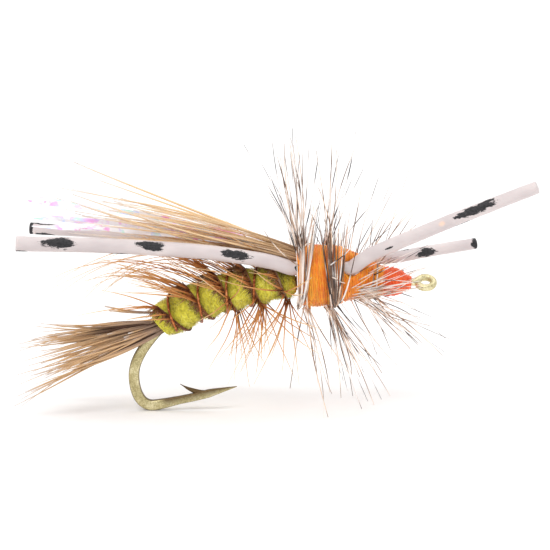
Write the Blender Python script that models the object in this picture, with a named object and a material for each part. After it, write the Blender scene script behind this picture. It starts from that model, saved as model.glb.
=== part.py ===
"""Dry fly with rubber legs, tied on a curved-shank hook.

Frame: +X towards the hook eye, +Z up, the fly's right side is -Y.  The origin is on the
surface that the fly stands on, under the middle of its bounding box.  The hook lies in
the XZ plane and stands on the bottom of its bend; the collar hackle's tips touch down too.

Lengths are in millimetres and are turned into metres when a mesh is finished.  Places along
the shank are given as the X of the shank's centreline, and angles round the shank start at
the right side (-Y), with 90 degrees at the top.
"""
import math
import random

import bmesh
import bpy
from mathutils import Matrix, Vector
from mathutils.geometry import intersect_point_line

MM = 0.001
TOUCH = 0.04            # gap left between pieces that touch on the real fly

# Hook: centreline from the point, round the bend and along the shank to the eye.
BEND = [(-3.0, 2.12), (-4.9, 1.66), (-6.6, 1.22), (-8.2, 0.88), (-9.6, 0.58), (-10.6, 0.47),
        (-11.35, 0.85), (-11.85, 1.75), (-12.05, 3.0), (-11.9, 4.1), (-11.4, 5.2)]
SHANK = [(-10.65, 6.25), (-9.7, 7.3), (-8.4, 8.35), (-6.6, 9.35), (-4.0, 10.3), (-1.0, 10.95),
         (2.0, 11.35), (5.5, 11.55), (9.0, 11.55), (12.3, 11.42)]
WIRE_R = 0.43
FORGE_Y, FORGE_IN = 0.80, 1.10       # forged bend: thinner across, deeper in its plane
SPEAR_R = 0.33
EYE_CENTRE = (13.52, 11.40)
EYE_R, EYE_WIRE_R = 0.70, 0.28
EYE_ROLL = math.radians(30)
BARB_X = -7.0                         # where the barb is cut into the spear
BARB_TIP = (-8.0, 2.34)

# Body and thorax, front to rear.
UNDERBODY_R = 0.62
ABDOMEN_FRONT, ABDOMEN_REAR = 2.15, -9.55
ABDOMEN_LIFT = 0.22
SEGMENT = 2.35                        # pitch of the rib
RIB_PHASE = -8.5                      # a rib turn crosses the right side here
QUILL_PHASE = -8.5                   # and so does a turn of the brown feather
RIB_R, QUILL_R = 0.11, 0.10
RIB_CLEARANCE = -0.05                 # with a barb's margin of 0.3, a barb clears the rib by 0.25
TAIL_BASE_R = 0.98
WING_LIFT, WING_BASE_R = 0.33, 0.94
WING_SPREAD = 3.8                     # from the middle to the outermost hair tips
THORAX_LIFT = 0.55
TIED_R = 2.42                         # round the shank, the wing and the two rubber strands
CORE_ANGLES = (177, 363)              # the dubbing under the strands
THORAX_CONE = [(6.37, 2.2, 0.45), (6.9, 2.05, 0.4), (7.3, 1.75, 0.25), (7.62, 1.46, 0.0),
               (8.2, 1.42, 0.0), (9.0, 1.34, 0.0), (9.55, 1.25, 0.0)]     # x, radius, lift
POCKET = 0.32                         # room round a leg's root in the front of the thorax

# Collar hackle: the two barbs that reach the surface, by their angle along the winding.
FEET = (610, 650)
FOOT_WINDOW = 8.0
FOOT_Z = 0.02

# Rubber legs: one strand on each side, tied down under the thorax.
STRAND_R = {"right": 0.64, "left": 0.53}
STRAND_Y, STRAND_Z = 1.48, 12.92
STRAND_REAR, STRAND_FRONT = 2.5, 6.3
SWING = [0, 8, 16, 25]                # degrees outward, used to keep barbs out of the way
LEG_ROUTES = {                        # from the joint to the tip, for the right side
    "rear_right": [(-0.5, 1.75, 13.65), (-5.3, 2.5, 14.5), (-10.3, 3.2, 15.0), (-15.3, 3.8, 15.35),
                   (-21.9, 4.5, 15.6)],
    "rear_left": [(-0.5, 1.75, 13.6), (-5.3, 2.5, 14.4), (-10.3, 3.2, 14.9), (-15.3, 3.9, 15.25),
                  (-21.3, 4.5, 15.5)],
    "front_right": [(8.9, 1.9, 14.3), (12.95, 2.9, 16.25), (17.1, 3.9, 18.15), (22.75, 5.2, 20.6)],
    "front_left": [(9.0, 1.9, 13.2), (11.0, 2.45, 13.25), (13.9, 3.2, 13.65), (18.1, 4.3, 14.15)],
}
LEG_TIP_R = {"rear_right": 0.66, "rear_left": 0.53, "front_right": 0.55, "front_left": 0.5}

FLY = "dry_fly"
HELPERS = "helpers"


# ---------------------------------------------------------------- scene and materials

def clear_scene():
    for obj in list(bpy.data.objects):
        bpy.data.objects.remove(obj, do_unlink=True)


def collection(name):
    made = bpy.data.collections.new(name)
    bpy.context.scene.collection.children.link(made)
    return made


def material(name, colour, roughness, metallic=0.0):
    made = bpy.data.materials.new(name)
    made.use_nodes = True
    shader = made.node_tree.nodes["Principled BSDF"]
    shader.inputs["Base Color"].default_value = (*colour, 1.0)
    shader.inputs["Roughness"].default_value = roughness
    shader.inputs["Metallic"].default_value = metallic
    return made


def make_materials():
    return {
        "hook": material("bronzed_wire", (0.36, 0.27, 0.15), 0.3, 1.0),
        "thread": material("orange_thread", (0.85, 0.17, 0.04), 0.5),
        "tan_thread": material("tan_thread", (0.45, 0.3, 0.15), 0.6),
        "elk": material("elk_hair", (0.45, 0.28, 0.13), 0.55),
        "olive": material("olive_dubbing", (0.45, 0.42, 0.05), 0.9),
        "orange": material("orange_dubbing", (0.9, 0.3, 0.03), 0.85),
        "copper": material("copper_wire", (0.5, 0.16, 0.06), 0.35, 1.0),
        "brown": material("brown_feather", (0.22, 0.1, 0.04), 0.6),
        "grizzly": material("grizzly_feather", (0.35, 0.3, 0.26), 0.6),
        "flash": material("pearl_flash", (0.85, 0.6, 0.8), 0.2, 0.3),
        "rubber": material("white_rubber", (0.82, 0.79, 0.78), 0.45),
    }


# ---------------------------------------------------------------- paths along the hook

def smooth_path(points, steps=4):
    """Catmull-Rom curve through the points, with so many steps between two of them."""
    knots = [Vector(p) for p in points]
    knots = [2 * knots[0] - knots[1]] + knots + [2 * knots[-1] - knots[-2]]
    path = []
    for a, b, c, d in zip(knots, knots[1:], knots[2:], knots[3:]):
        for step in range(steps):
            t = step / steps
            path.append(0.5 * (2 * b + (c - a) * t + (2 * a - 5 * b + 4 * c - d) * t * t
                               + (3 * b - a - 3 * c + d) * t ** 3))
    path.append(knots[-2])
    return path


def in_plane(points):
    return [(x, 0.0, z) for x, z in points]


SHANK_LINE = smooth_path(in_plane(BEND[-1:] + SHANK), 12)


def station(x):
    """Centre, forward direction and upward normal of the shank where its centreline has this X."""
    for low, high in zip(SHANK_LINE, SHANK_LINE[1:]):
        if x <= high.x or high is SHANK_LINE[-1]:
            along = (x - low.x) / (high.x - low.x)
            forward = (high - low).normalized()
            return low.lerp(high, along), forward, Vector((-forward.z, 0.0, forward.x))


def around(x, degrees, radius, lift=0.0):
    """A point at an angle and a radius round the shank."""
    centre, _, up = station(x)
    turn = math.radians(degrees)
    return centre + up * (lift + radius * math.sin(turn)) + Vector((0, -radius * math.cos(turn), 0))


def outward(x, degrees):
    _, _, up = station(x)
    turn = math.radians(degrees)
    return up * math.sin(turn) + Vector((0, -math.cos(turn), 0))


def ring(x, radius, lift=0.0, sides=16):
    return [around(x, 360 * k / sides, radius, lift) for k in range(sides)]


def distance(point, line):
    best = 1e9
    for low, high in zip(line, line[1:]):
        near, share = intersect_point_line(point, low, high)
        near = low.lerp(high, min(1.0, max(0.0, share)))
        best = min(best, (point - near).length)
    return best


# ---------------------------------------------------------------- meshes

def loft(rings, closed=False):
    """Skin equal rings in order. Closed joins the last to the first; otherwise both ends are capped."""
    bm = bmesh.new()
    rows = [[bm.verts.new(point) for point in points] for points in rings]
    sides = len(rows[0])
    follow = rows[1:] + rows[:1] if closed else rows[1:]
    skin = []
    for low, high in zip(rows, follow):
        skin.append([bm.faces.new((low[k], low[(k + 1) % sides], high[(k + 1) % sides], high[k]))
                     for k in range(sides)])
    if not closed:
        bm.faces.new(rows[0])
        bm.faces.new(rows[-1])
    return bm, skin


def finish(bm, name, look, origin=(0, 0, 0)):
    """Turn a mesh in millimetres into an object in metres, with its origin at a point."""
    bmesh.ops.recalc_face_normals(bm, faces=bm.faces)
    bmesh.ops.triangulate(bm, faces=[f for f in bm.faces if len(f.verts) > 4])
    bm.transform(Matrix.Scale(MM, 4) @ Matrix.Translation(-Vector(origin)))
    mesh = bpy.data.meshes.new(name)
    bm.to_mesh(mesh)
    bm.free()
    mesh.shade_smooth()
    mesh.set_sharp_from_angle(angle=math.radians(40))
    mesh.materials.append(look)
    obj = bpy.data.objects.new(name, mesh)
    obj.location = Vector(origin) * MM
    bpy.data.collections[FLY].objects.link(obj)
    return obj


def tube(name, points, radii, look, origin=(0, 0, 0), round_resolution=2):
    """A round strand along points, as a poly curve with a bevel and filled caps."""
    curve = bpy.data.curves.new(name, "CURVE")
    curve.dimensions = "3D"
    curve.bevel_depth = MM
    curve.bevel_resolution = round_resolution
    curve.use_fill_caps = True
    spline = curve.splines.new("POLY")
    spline.points.add(len(points) - 1)
    for point, place, radius in zip(spline.points, points, radii):
        point.co = (*((Vector(place) - Vector(origin)) * MM), 1.0)
        point.radius = radius
    spline.use_smooth = True
    curve.materials.append(look)
    obj = bpy.data.objects.new(name, curve)
    obj.location = Vector(origin) * MM
    bpy.data.collections[FLY].objects.link(obj)
    return obj


def sleeve(name, outer, bore, look, sides=16):
    """A wound sleeve: outer and bore are (x, radius, lift) from rear to front."""
    rings = [ring(x, r, lift, sides) for x, r, lift in outer]
    rings += [ring(x, r, lift, sides) for x, r, lift in reversed(bore)]
    bm, _ = loft(rings, closed=True)
    return finish(bm, name, look)


def sector(name, x_rear, x_front, angles, radii, lift, look, steps=12):
    """Part of a ring round the shank, between two angles."""
    def section(x):
        turns = [angles[0] + (angles[1] - angles[0]) * k / steps for k in range(steps + 1)]
        inner = [around(x, turn, radii[0], lift) for turn in turns]
        outer = [around(x, turn, radii[1], lift) for turn in reversed(turns)]
        return inner + outer
    middle = (x_rear + x_front) / 2
    bm, _ = loft([section(x_rear), section(middle), section(x_front)])
    return finish(bm, name, look)


def grow(bm, face, points, widths):
    """Pull one face out into a tapering hair along points; the last point is its tip."""
    centre = face.calc_center_median()
    shape = [vert.co - centre for vert in face.verts]
    size = max(offset.length for offset in shape)
    normal = face.normal.copy()
    before = centre
    for place, width in zip(points, widths):
        face = bmesh.ops.extrude_discrete_faces(bm, faces=[face])["faces"][0]
        turn = normal.rotation_difference((place - before).normalized())
        for vert, offset in zip(face.verts, shape):
            vert.co = place + turn @ offset * (width / size)
        before = place
    bmesh.ops.pointmerge(bm, verts=list(face.verts), merge_co=points[-1])


def bow(start, direction, tip, parts):
    """Points on a curve that leaves start in a direction and ends at tip."""
    handle = start + direction.normalized() * (tip - start).length * 0.4
    places = []
    for step in range(1, parts + 1):
        t = step / parts
        places.append(start * (1 - t) ** 2 + handle * 2 * t * (1 - t) + tip * t * t)
    return places


# ---------------------------------------------------------------- hook

def hook_section(centre, along, radius, squash=1.0, deepen=1.0, sides=8):
    """Octagon across the wire, with one flat facing each side of the fly."""
    across = along.cross(Vector((0, 1, 0))).normalized()
    side = across.cross(along).normalized()
    points = []
    for k in range(sides):
        turn = math.tau * (k + 0.5) / sides
        points.append(centre + across * radius * deepen * math.cos(turn)
                      + side * radius * squash * math.sin(turn))
    return points


def forging(height):
    """1 at the bend, falling to 0 up on the shank."""
    return max(0.0, min(1.0, (7.0 - height) / 2.0))


def hook_rings():
    path = smooth_path(in_plane(BEND + SHANK), 3)
    rings = []
    for index, centre in enumerate(path):
        low, high = path[max(index - 1, 0)], path[min(index + 1, len(path) - 1)]
        along = (high - low).normalized()
        reach = (centre - path[0]).length
        radius = SPEAR_R * min(1.0, 0.10 + 0.36 * reach)
        if centre.x < -8.0 or centre.z > 2.6:
            radius = SPEAR_R + (WIRE_R - SPEAR_R) * min(1.0, max(0.0, (-8.0 - centre.x) / 2.2))
        if centre.z > 4.0:
            radius = WIRE_R
        if centre.x > 10.5:
            radius = WIRE_R - (WIRE_R - EYE_WIRE_R) * (centre.x - 10.5) / 1.8
        forge = forging(centre.z)
        rings.append(hook_section(centre, along, radius, 1 + (FORGE_Y - 1) * forge,
                                  1 + (FORGE_IN - 1) * forge))
    return path, rings


def cut_barb(path, rings):
    """Two more sections where the barb stands up: one at its notch and one at its tip."""
    after = next(i for i, centre in enumerate(path) if centre.x < BARB_X)
    notch = rings[after]
    lifted = [point + Vector((0.12, 0, 0)) for point in notch]
    tip = Vector((BARB_TIP[0], 0, BARB_TIP[1]))
    top = sorted(range(len(lifted)), key=lambda k: -lifted[k].z)[:2]
    for k in top:
        lifted[k] = Vector((tip.x, lifted[k].y * 0.35, tip.z))
    return rings[:after] + [lifted] + rings[after:]


def eye_rings(neck):
    """The wire carried on round the eye's loop and back almost to the shank."""
    centre = Vector((EYE_CENTRE[0], 0, EYE_CENTRE[1]))
    roll = Matrix.Rotation(EYE_ROLL, 3, "X")
    start, end, steps = 148, -128, 20
    places = [neck + Vector((0.28, 0.06, 0.0))]
    for step in range(steps + 1):
        turn = math.radians(start + (end - start) * step / steps)
        spot = Vector((EYE_R * math.cos(turn), EYE_R * math.sin(turn), 0))
        places.append(centre + roll @ spot)
    rings = []
    loop_axis = roll @ Vector((0, 0, 1))
    for index in range(len(places)):
        low, high = places[max(index - 1, 0)], places[min(index + 1, len(places) - 1)]
        along = (high - low).normalized()
        side = along.cross(loop_axis).normalized()
        radius = EYE_WIRE_R
        ring_points = []
        for k in range(8):
            turn = math.tau * (k + 0.5) / 8
            ring_points.append(places[index] + loop_axis * radius * math.cos(turn)
                               - side * radius * math.sin(turn))
        rings.append(ring_points)
    return rings


def make_hook(look):
    path, rings = hook_rings()
    rings = cut_barb(path, rings) + eye_rings(path[-1])
    bm, _ = loft(rings)
    return finish(bm, "hook", look)


# ---------------------------------------------------------------- abdomen

def abdomen_radius(x, degrees=0.0):
    """Radius of the dubbing, which swells between the turns of the rib."""
    along = (x - ABDOMEN_REAR) / (ABDOMEN_FRONT - ABDOMEN_REAR)
    taper = 1.62 - 0.22 * along + 0.12 * math.sin(math.pi * along)
    ends = min(1.0, 0.72 + 0.5 * (x - ABDOMEN_REAR)) * min(1.0, 0.76 + 0.3 * (ABDOMEN_FRONT - x))
    phase = (x - rib_x(RIB_PHASE, degrees)) / SEGMENT
    return taper * ends - 0.09 * math.cos(math.tau * phase)


def rib_x(phase, degrees):
    """Where a turn of the rib lies along the shank, for an angle round it."""
    return phase + SEGMENT * (degrees / 360)


def make_abdomen(look):
    steps, sides = 42, 16
    span = ABDOMEN_FRONT - ABDOMEN_REAR
    rings = []
    for step in range(steps + 1):
        x = ABDOMEN_REAR + span * step / steps
        rings.append([around(x, 360 * k / sides, abdomen_radius(x, 360 * k / sides), ABDOMEN_LIFT)
                      for k in range(sides)])
    cavity = TAIL_BASE_R + 0.22
    bore = [(ABDOMEN_FRONT, 0.68), (-1.0, 0.68), (-4.0, 0.68), (-6.6, 0.68), (-8.2, 0.68),
            (-8.55, 0.68), (-8.65, cavity), (-9.1, cavity), (ABDOMEN_REAR, cavity)]
    rings += [ring(x, r, 0.0, sides) for x, r in bore]
    bm, _ = loft(rings, closed=True)
    return finish(bm, "abdomen_dubbing", look)


def winding(x_rear, x_front, phase, sense, steps):
    """(x, degrees) along a helix; sense +1 leans with the rib, -1 leans against it."""
    start = (x_rear - phase) / SEGMENT * 360 * sense
    end = (x_front - phase) / SEGMENT * 360 * sense
    count = max(2, int(abs(end - start) / 360 * steps))
    return [(x_rear + (x_front - x_rear) * k / count, start + (end - start) * k / count)
            for k in range(count + 1)]


def quill_points():
    places = []
    for x, degrees in winding(-8.9, 1.49, QUILL_PHASE, -1, 14):
        radius = abdomen_radius(x, degrees) + TOUCH + QUILL_R
        places.append((x, degrees, radius))
    return places


def rib_points(quill):
    """The wire lies on the dubbing and rides over the quill where they cross."""
    quill_line = [around(x, degrees, radius, ABDOMEN_LIFT) for x, degrees, radius in quill]
    points = []
    for x, degrees in winding(-8.75, 0.0, RIB_PHASE, 1, 18):
        surface = abdomen_radius(x, degrees) + TOUCH
        near = distance(around(x, degrees, surface + QUILL_R, ABDOMEN_LIFT), quill_line)
        clear = min(1.0, max(0.0, (near - 2.4 * RIB_R) / (4 * RIB_R)))
        ride = (2 * QUILL_R + TOUCH) * (1 - clear * clear * (3 - 2 * clear))
        points.append(around(x, degrees, surface + RIB_R + ride, ABDOMEN_LIFT))
    return points


# ---------------------------------------------------------------- hackles

def swept_legs():
    """Each leg's line at several swing angles, with its radius."""
    lines = []
    for name, route in leg_routes().items():
        pivot = route[0]
        for swing in SWING:
            turn = Matrix.Rotation(math.radians(swing) * leg_sense(name), 3, "Z")
            lines.append(([pivot + turn @ (p - pivot) for p in route], STRAND_R[name.split("_")[1]]))
    return lines


def clear_of(points, lines, margin):
    for line, radius in lines:
        for low, high in zip(points, points[1:]):
            for share in (0.0, 0.25, 0.5, 0.75, 1.0):
                if distance(low.lerp(high, share), line) < radius + margin:
                    return False
    return True


def feather(name, turns, lift, barb, look, keep_clear):
    """A wound feather: a flat quill round the shank with barbs grown from its outer face."""
    half = QUILL_R
    rings = []
    for x, degrees, radius in turns:
        centre = around(x, degrees, radius, lift)
        out = outward(x, degrees)
        _, along, _ = station(x)
        rings.append([centre + out * a * half + along * b * half
                      for a, b in ((1, -1), (1, 1), (-1, 1), (-1, -1))])
    bm, skin = loft(rings)
    bmesh.ops.recalc_face_normals(bm, faces=bm.faces)
    bm.normal_update()
    for index in range(1, len(turns) - 2):
        face = skin[index][0]
        root = face.calc_center_median()
        x, degrees, _ = turns[index]
        points = barb(root, x, degrees)
        if points and clear_of([root] + points, keep_clear, 0.3):
            grow(bm, face, points, (0.09, 0.07, 0.05))
    return finish(bm, name, look)


def body_barb(rng):
    """Barbs of the brown feather: laid back over the top, standing out below."""
    def barb(root, x, degrees):
        height = math.sin(math.radians(degrees))
        _, forward, _ = station(x)
        out = outward(x, degrees)
        back = 0.35 + 1.6 * max(0.0, height + 0.25)
        length = rng.uniform(4.6, 6.2)
        low_rear = height < -0.3 and x < -3.6
        if low_rear:
            length = 1.1
            back = 0.6
        tip = root + (out - forward * back).normalized() * length
        return bow(root, out - forward * back * 0.5, tip, 3)
    return barb


def collar_barb(rng, lean, length_low, length_high, feet=()):
    """Barbs of the grizzly feather: stand straight out, and stop above the surface below.

    The two barbs at the angles in feet go down to the surface, and the fly rests on them."""
    def barb(root, x, degrees):
        stands = any(abs(degrees - foot) < FOOT_WINDOW for foot in feet)
        _, forward, _ = station(x)
        out = outward(x, degrees)
        sway = 0.0 if stands else lean + rng.uniform(-0.14, 0.14)
        direction = (out + forward * sway).normalized()
        length = rng.uniform(length_low, length_high)
        floor = FOOT_Z if stands else rng.uniform(0.35, 1.5)
        if stands or root.z + direction.z * length < floor:
            length = (root.z - floor) / -direction.z
        tip = root + direction * length
        return bow(root, direction, tip, 3)
    return barb


# ---------------------------------------------------------------- hair

def hair_tuft(name, place, counts, hair, widths, look):
    """A bound block of hair whose rear face is pulled out into hairs.

    place(u, v, w) gives a point of the block: u across, v outwards, w 0 in front and 1 behind.
    hair(start, u, v) gives the three points of the hair that starts there."""
    bm = bmesh.new()
    bmesh.ops.create_grid(bm, x_segments=counts[0], y_segments=counts[1], size=0.5)
    front = list(bm.faces)
    added = bmesh.ops.extrude_face_region(bm, geom=front)["geom"]
    rear = [item for item in added if isinstance(item, bmesh.types.BMFace)]
    rear_verts = {vert for face in rear for vert in face.verts}
    spots = {}
    for face in rear:
        middle = face.calc_center_median()
        spots[face] = (middle.x + 0.5, middle.y + 0.5)
    for vert in bm.verts:
        vert.co = place(vert.co.x + 0.5, vert.co.y + 0.5, 1.0 if vert in rear_verts else 0.0)
    bmesh.ops.recalc_face_normals(bm, faces=bm.faces)
    bm.normal_update()
    for face in rear:
        grow(bm, face, hair(face.calc_center_median(), *spots[face]), widths)
    return finish(bm, name, look)


def tail_tufts(look, count=4):
    rng = random.Random(4)
    first, last = -25.0, 205.0
    for number in range(count):
        low = first + (last - first) * number / count + 2
        high = first + (last - first) * (number + 1) / count - 2

        def place(u, v, w):
            return around(-8.75 - 0.95 * w, low + (high - low) * u, 0.66 + (TAIL_BASE_R - 0.66) * v)

        def hair(start, u, v):
            angle = math.radians(low + (high - low) * u)
            side, height = math.cos(angle), math.sin(angle)
            tip = Vector((-20.4 - 2.4 * rng.random(), -3.3 * side - 0.2 * rng.random(),
                          2.1 + 4.0 * height + 1.0 * v + rng.uniform(-0.4, 0.4)))
            return bow(start, Vector((-1.0, -0.35 * side, -0.45 + 0.25 * height)), tip, 3)
        hair_tuft(f"tail_tuft_{number + 1}", place, (3, 2), hair, (0.16, 0.13, 0.08), look)


def wing_bundle_r(degrees):
    """Radius from the shank of the thread that binds the wing, which is centred above it."""
    turn = math.radians(degrees)
    return WING_LIFT * math.sin(turn) + math.sqrt(WING_BASE_R ** 2 - (WING_LIFT * math.cos(turn)) ** 2)


def wing_tufts(look, count=5):
    rng = random.Random(11)
    first, last = 50.0, 130.0
    for number in range(count):
        low = first + (last - first) * number / count + 0.8
        high = first + (last - first) * (number + 1) / count - 0.8

        def place(u, v, w):
            turn = low + (high - low) * u
            return around(4.9 - 1.2 * w, turn, 0.67 + (wing_bundle_r(turn) - 0.67) * v)

        def hair(start, u, v):
            across = (low + (high - low) * u - 90) / 40
            exit_point = Vector((2.3, 0.72 * across, 13.2 + 0.15 * abs(across) + 1.05 * v))
            height = 16.0 + 2.2 * abs(across) + 5.4 * v * (1 - 0.25 * abs(across))
            tip = Vector((-16.8 + 3.2 * v + rng.uniform(-1.2, 1.2), WING_SPREAD * across,
                          height + rng.uniform(-0.3, 0.3)))
            middle = exit_point.lerp(tip, 0.5) + Vector((0, 0, 0.35))
            return [exit_point, middle, tip]
        hair_tuft(f"wing_tuft_{number + 1}", place, (2, 3), hair, (0.07, 0.12, 0.08), look)


def flash_strands(look):
    """Strands that lie between the wing's tufts, some low and some high in the wing."""
    places = [(-0.6, 0.3), (-0.2, 0.2), (0.2, 0.35), (0.6, 0.25), (-0.2, 0.9), (0.2, 0.8)]
    rng = random.Random(23)
    for number, (across, height) in enumerate(places):
        start = Vector((1.2, 0.9 * across, 13.9 + 0.9 * height))
        tip = Vector((-20.3 + rng.uniform(-1.2, 1.2), WING_SPREAD * across, 16.4 + 2.6 * height))
        points = [start] + bow(start, Vector((-1, 0.1 * across, 0.25)), tip, 5)
        tube(f"flash_{number + 1}", points, [0.04] * len(points), look, round_resolution=0)


# ---------------------------------------------------------------- rubber legs

def leg_sense(name):
    """Sign of an outward swing about +Z."""
    return 1 if name in ("rear_right", "front_left") else -1


def leg_pivot(name):
    end, side = name.split("_")
    radius = STRAND_R[side]
    y = -STRAND_Y if side == "right" else STRAND_Y
    if end == "rear":
        return Vector((STRAND_REAR - TOUCH - radius, y, STRAND_Z))
    return Vector((STRAND_FRONT + TOUCH + radius, y, STRAND_Z))


def leg_routes():
    routes = {}
    for name, route in LEG_ROUTES.items():
        side = -1 if name.endswith("right") else 1
        routes[name] = [leg_pivot(name)] + [Vector((x, side * y, z)) for x, y, z in route]
    return routes


def make_leg(name, route, look):
    """A free leg: a rounded root on its joint, then a round strand to the cut tip."""
    root_r, tip_r = STRAND_R[name.split("_")[1]], LEG_TIP_R[name]
    line = smooth_path(route, 4)
    start = (line[1] - line[0]).normalized()
    points, radii = [], []
    for degrees in (88, 66, 44, 22):
        points.append(line[0] - start * root_r * math.sin(math.radians(degrees)))
        radii.append(root_r * math.cos(math.radians(degrees)))
    for index, place in enumerate(line):
        share = index / (len(line) - 1)
        points.append(place)
        radii.append(root_r + (tip_r - root_r) * share)
    points.append(line[-1] + (line[-1] - line[-2]).normalized() * 0.12)
    radii.append(tip_r * 0.9)
    return tube(f"leg_{name}", points, radii, look, origin=route[0])


def make_legs(look):
    for side in ("right", "left"):
        y = -STRAND_Y if side == "right" else STRAND_Y
        points = [(STRAND_REAR + (STRAND_FRONT - STRAND_REAR) * k / 4, y, STRAND_Z) for k in range(5)]
        tube(f"leg_strand_{side}", points, [STRAND_R[side]] * 5, look)
    for name, route in leg_routes().items():
        leg = make_leg(name, route, look)
        joint = bpy.data.objects.new(f"swing_{name}", None)
        joint.location = route[0] * MM
        bpy.data.collections[HELPERS].objects.link(joint)
        leg.parent = joint
        leg.location = (0, 0, 0)


# ---------------------------------------------------------------- thread, thorax and head

def reach(x, degrees, radius, lift, legs):
    """The radius, made smaller where a leg would be in the way over its swing."""
    while radius > 0.8:
        place = around(x, degrees, radius, lift)
        if all(distance(place, line) > leg_r + POCKET for line, leg_r in legs):
            break
        radius -= 0.03
    return radius


def make_windings(looks, legs):
    thread, tan, orange = looks["thread"], looks["tan_thread"], looks["orange"]
    sides = 40
    bore = WIRE_R + TOUCH
    core = [-9.4, -8.6, -7.6, -6.6, -5.0, -3.0, -1.0, 2.0, 5.5, 9.55]
    sleeve("thread_underbody", [(x, UNDERBODY_R, 0) for x in core], [(x, bore, 0) for x in core],
           tan, 12)
    sleeve("tail_thread_band", [(x, TAIL_BASE_R + 0.14, 0) for x in (-9.3, -9.05, -8.8)],
           [(x, TAIL_BASE_R + TOUCH, 0) for x in (-9.3, -9.05, -8.8)], tan)
    sleeve("wing_thread_band", [(x, WING_BASE_R + 0.16, WING_LIFT) for x in (3.85, 4.3, 4.75)],
           [(x, WING_BASE_R + TOUCH, WING_LIFT) for x in (3.85, 4.3, 4.75)], thread)
    sleeve("wing_butts", [(4.98, 1.08, 0.3), (5.5, 1.06, 0.3), (6.1, 0.8, 0.0)],
           [(4.98, 0.67, 0), (5.5, 0.67, 0), (6.1, 0.67, 0)], looks["elk"])
    sector("thorax_core", 2.75, 6.15, CORE_ANGLES, (1.3, 2.36), THORAX_LIFT, orange)
    for name, x_rear, x_front in (("leg_thread_rear", 2.5, 2.85), ("leg_thread_front", 5.87, 6.25)):
        sleeve(name, [(x_rear, TIED_R + 0.1, THORAX_LIFT), (x_front, TIED_R + 0.1, THORAX_LIFT)],
               [(x_rear, TIED_R, THORAX_LIFT), (x_front, TIED_R, THORAX_LIFT)], thread, 24)
    for name, outer in (("thorax_rear", [(2.9, 2.56), (3.3, 2.66), (4.4, 2.66), (4.85, 2.58)]),
                        ("thorax_middle", [(4.9, 2.56), (5.35, 2.6), (5.82, 2.54)])):
        sleeve(name, [(x, r, THORAX_LIFT) for x, r in outer],
               [(x, TIED_R, THORAX_LIFT) for x, r in (outer[0], outer[-1])], orange, 24)
    rings = [[around(x, 360 * k / sides, reach(x, 360 * k / sides, r, lift, legs), lift) for k in range(sides)]
             for x, r, lift in smooth_path(THORAX_CONE, 4)]
    rings += [ring(x, 0.67, 0.0, sides) for x in (THORAX_CONE[-1][0], 8.0, THORAX_CONE[0][0])]
    bm, _ = loft(rings, closed=True)
    finish(bm, "thorax_front", orange)
    sleeve("thread_head", [(9.62, 1.22, 0), (10.2, 1.27, 0), (10.9, 1.2, 0), (11.5, 0.95, 0),
                           (11.85, 0.7, 0)],
           [(9.62, 0.48, 0), (10.7, 0.48, 0), (11.85, 0.42, 0)], thread)
    sleeve("whip_finish", [(11.9, 0.62, 0), (12.05, 0.64, 0), (12.25, 0.52, 0)],
           [(11.9, 0.42, 0), (12.25, 0.4, 0)], thread)


# ---------------------------------------------------------------- the fly

def collar_turns(x_rear, x_front, radius_rear, radius_front, turns, start, per_turn):
    count = int(turns * per_turn)
    places = []
    for k in range(count + 1):
        share = k / count
        places.append((x_rear + (x_front - x_rear) * share, start + 360 * turns * share,
                       radius_rear + (radius_front - radius_rear) * share))
    return places


def build():
    clear_scene()
    collection(FLY)
    collection(HELPERS)
    looks = make_materials()
    make_hook(looks["hook"])
    legs = swept_legs()
    make_windings(looks, legs)
    make_abdomen(looks["olive"])
    quill = quill_points()
    rib = rib_points(quill)
    tube("rib_wire", rib, [RIB_R] * len(rib), looks["copper"])
    feather("body_hackle", quill, ABDOMEN_LIFT, body_barb(random.Random(7)), looks["brown"],
            legs + [(rib, RIB_CLEARANCE)])
    rear = collar_turns(3.0, 5.6, 2.88, 2.84, 2.6, 40, 18)
    feather("collar_hackle_rear", rear, THORAX_LIFT,
            collar_barb(random.Random(5), -0.06, 9.6, 10.8, FEET), looks["grizzly"], legs)
    front = collar_turns(7.75, 9.4, 1.62, 1.54, 2.5, -90, 16)
    feather("collar_hackle_front", front, 0.0, collar_barb(random.Random(9), 0.45, 8.2, 10.2),
            looks["grizzly"], legs)
    tail_tufts(looks["elk"])
    wing_tufts(looks["elk"])
    flash_strands(looks["flash"])
    make_legs(looks["rubber"])


build()
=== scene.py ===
import math

import bpy
import numpy as np
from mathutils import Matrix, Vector, noise


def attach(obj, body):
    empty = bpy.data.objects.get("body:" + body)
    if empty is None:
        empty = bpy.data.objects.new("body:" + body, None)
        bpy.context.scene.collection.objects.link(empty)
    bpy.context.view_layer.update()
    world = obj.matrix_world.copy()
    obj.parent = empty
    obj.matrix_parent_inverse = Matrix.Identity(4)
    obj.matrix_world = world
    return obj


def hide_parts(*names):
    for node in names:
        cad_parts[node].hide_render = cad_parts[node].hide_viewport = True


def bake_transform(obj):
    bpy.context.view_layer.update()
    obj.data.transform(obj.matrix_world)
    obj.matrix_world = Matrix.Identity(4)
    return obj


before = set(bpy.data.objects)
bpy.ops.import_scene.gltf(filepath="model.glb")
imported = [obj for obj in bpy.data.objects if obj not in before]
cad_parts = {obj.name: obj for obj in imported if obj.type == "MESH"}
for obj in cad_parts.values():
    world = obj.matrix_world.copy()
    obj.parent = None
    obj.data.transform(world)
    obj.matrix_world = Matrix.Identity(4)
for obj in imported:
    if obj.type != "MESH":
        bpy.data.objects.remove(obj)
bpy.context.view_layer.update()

MM = 0.001
TOUCH = 0.04

# ---- the CAD's own numbers, in millimetres

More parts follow.
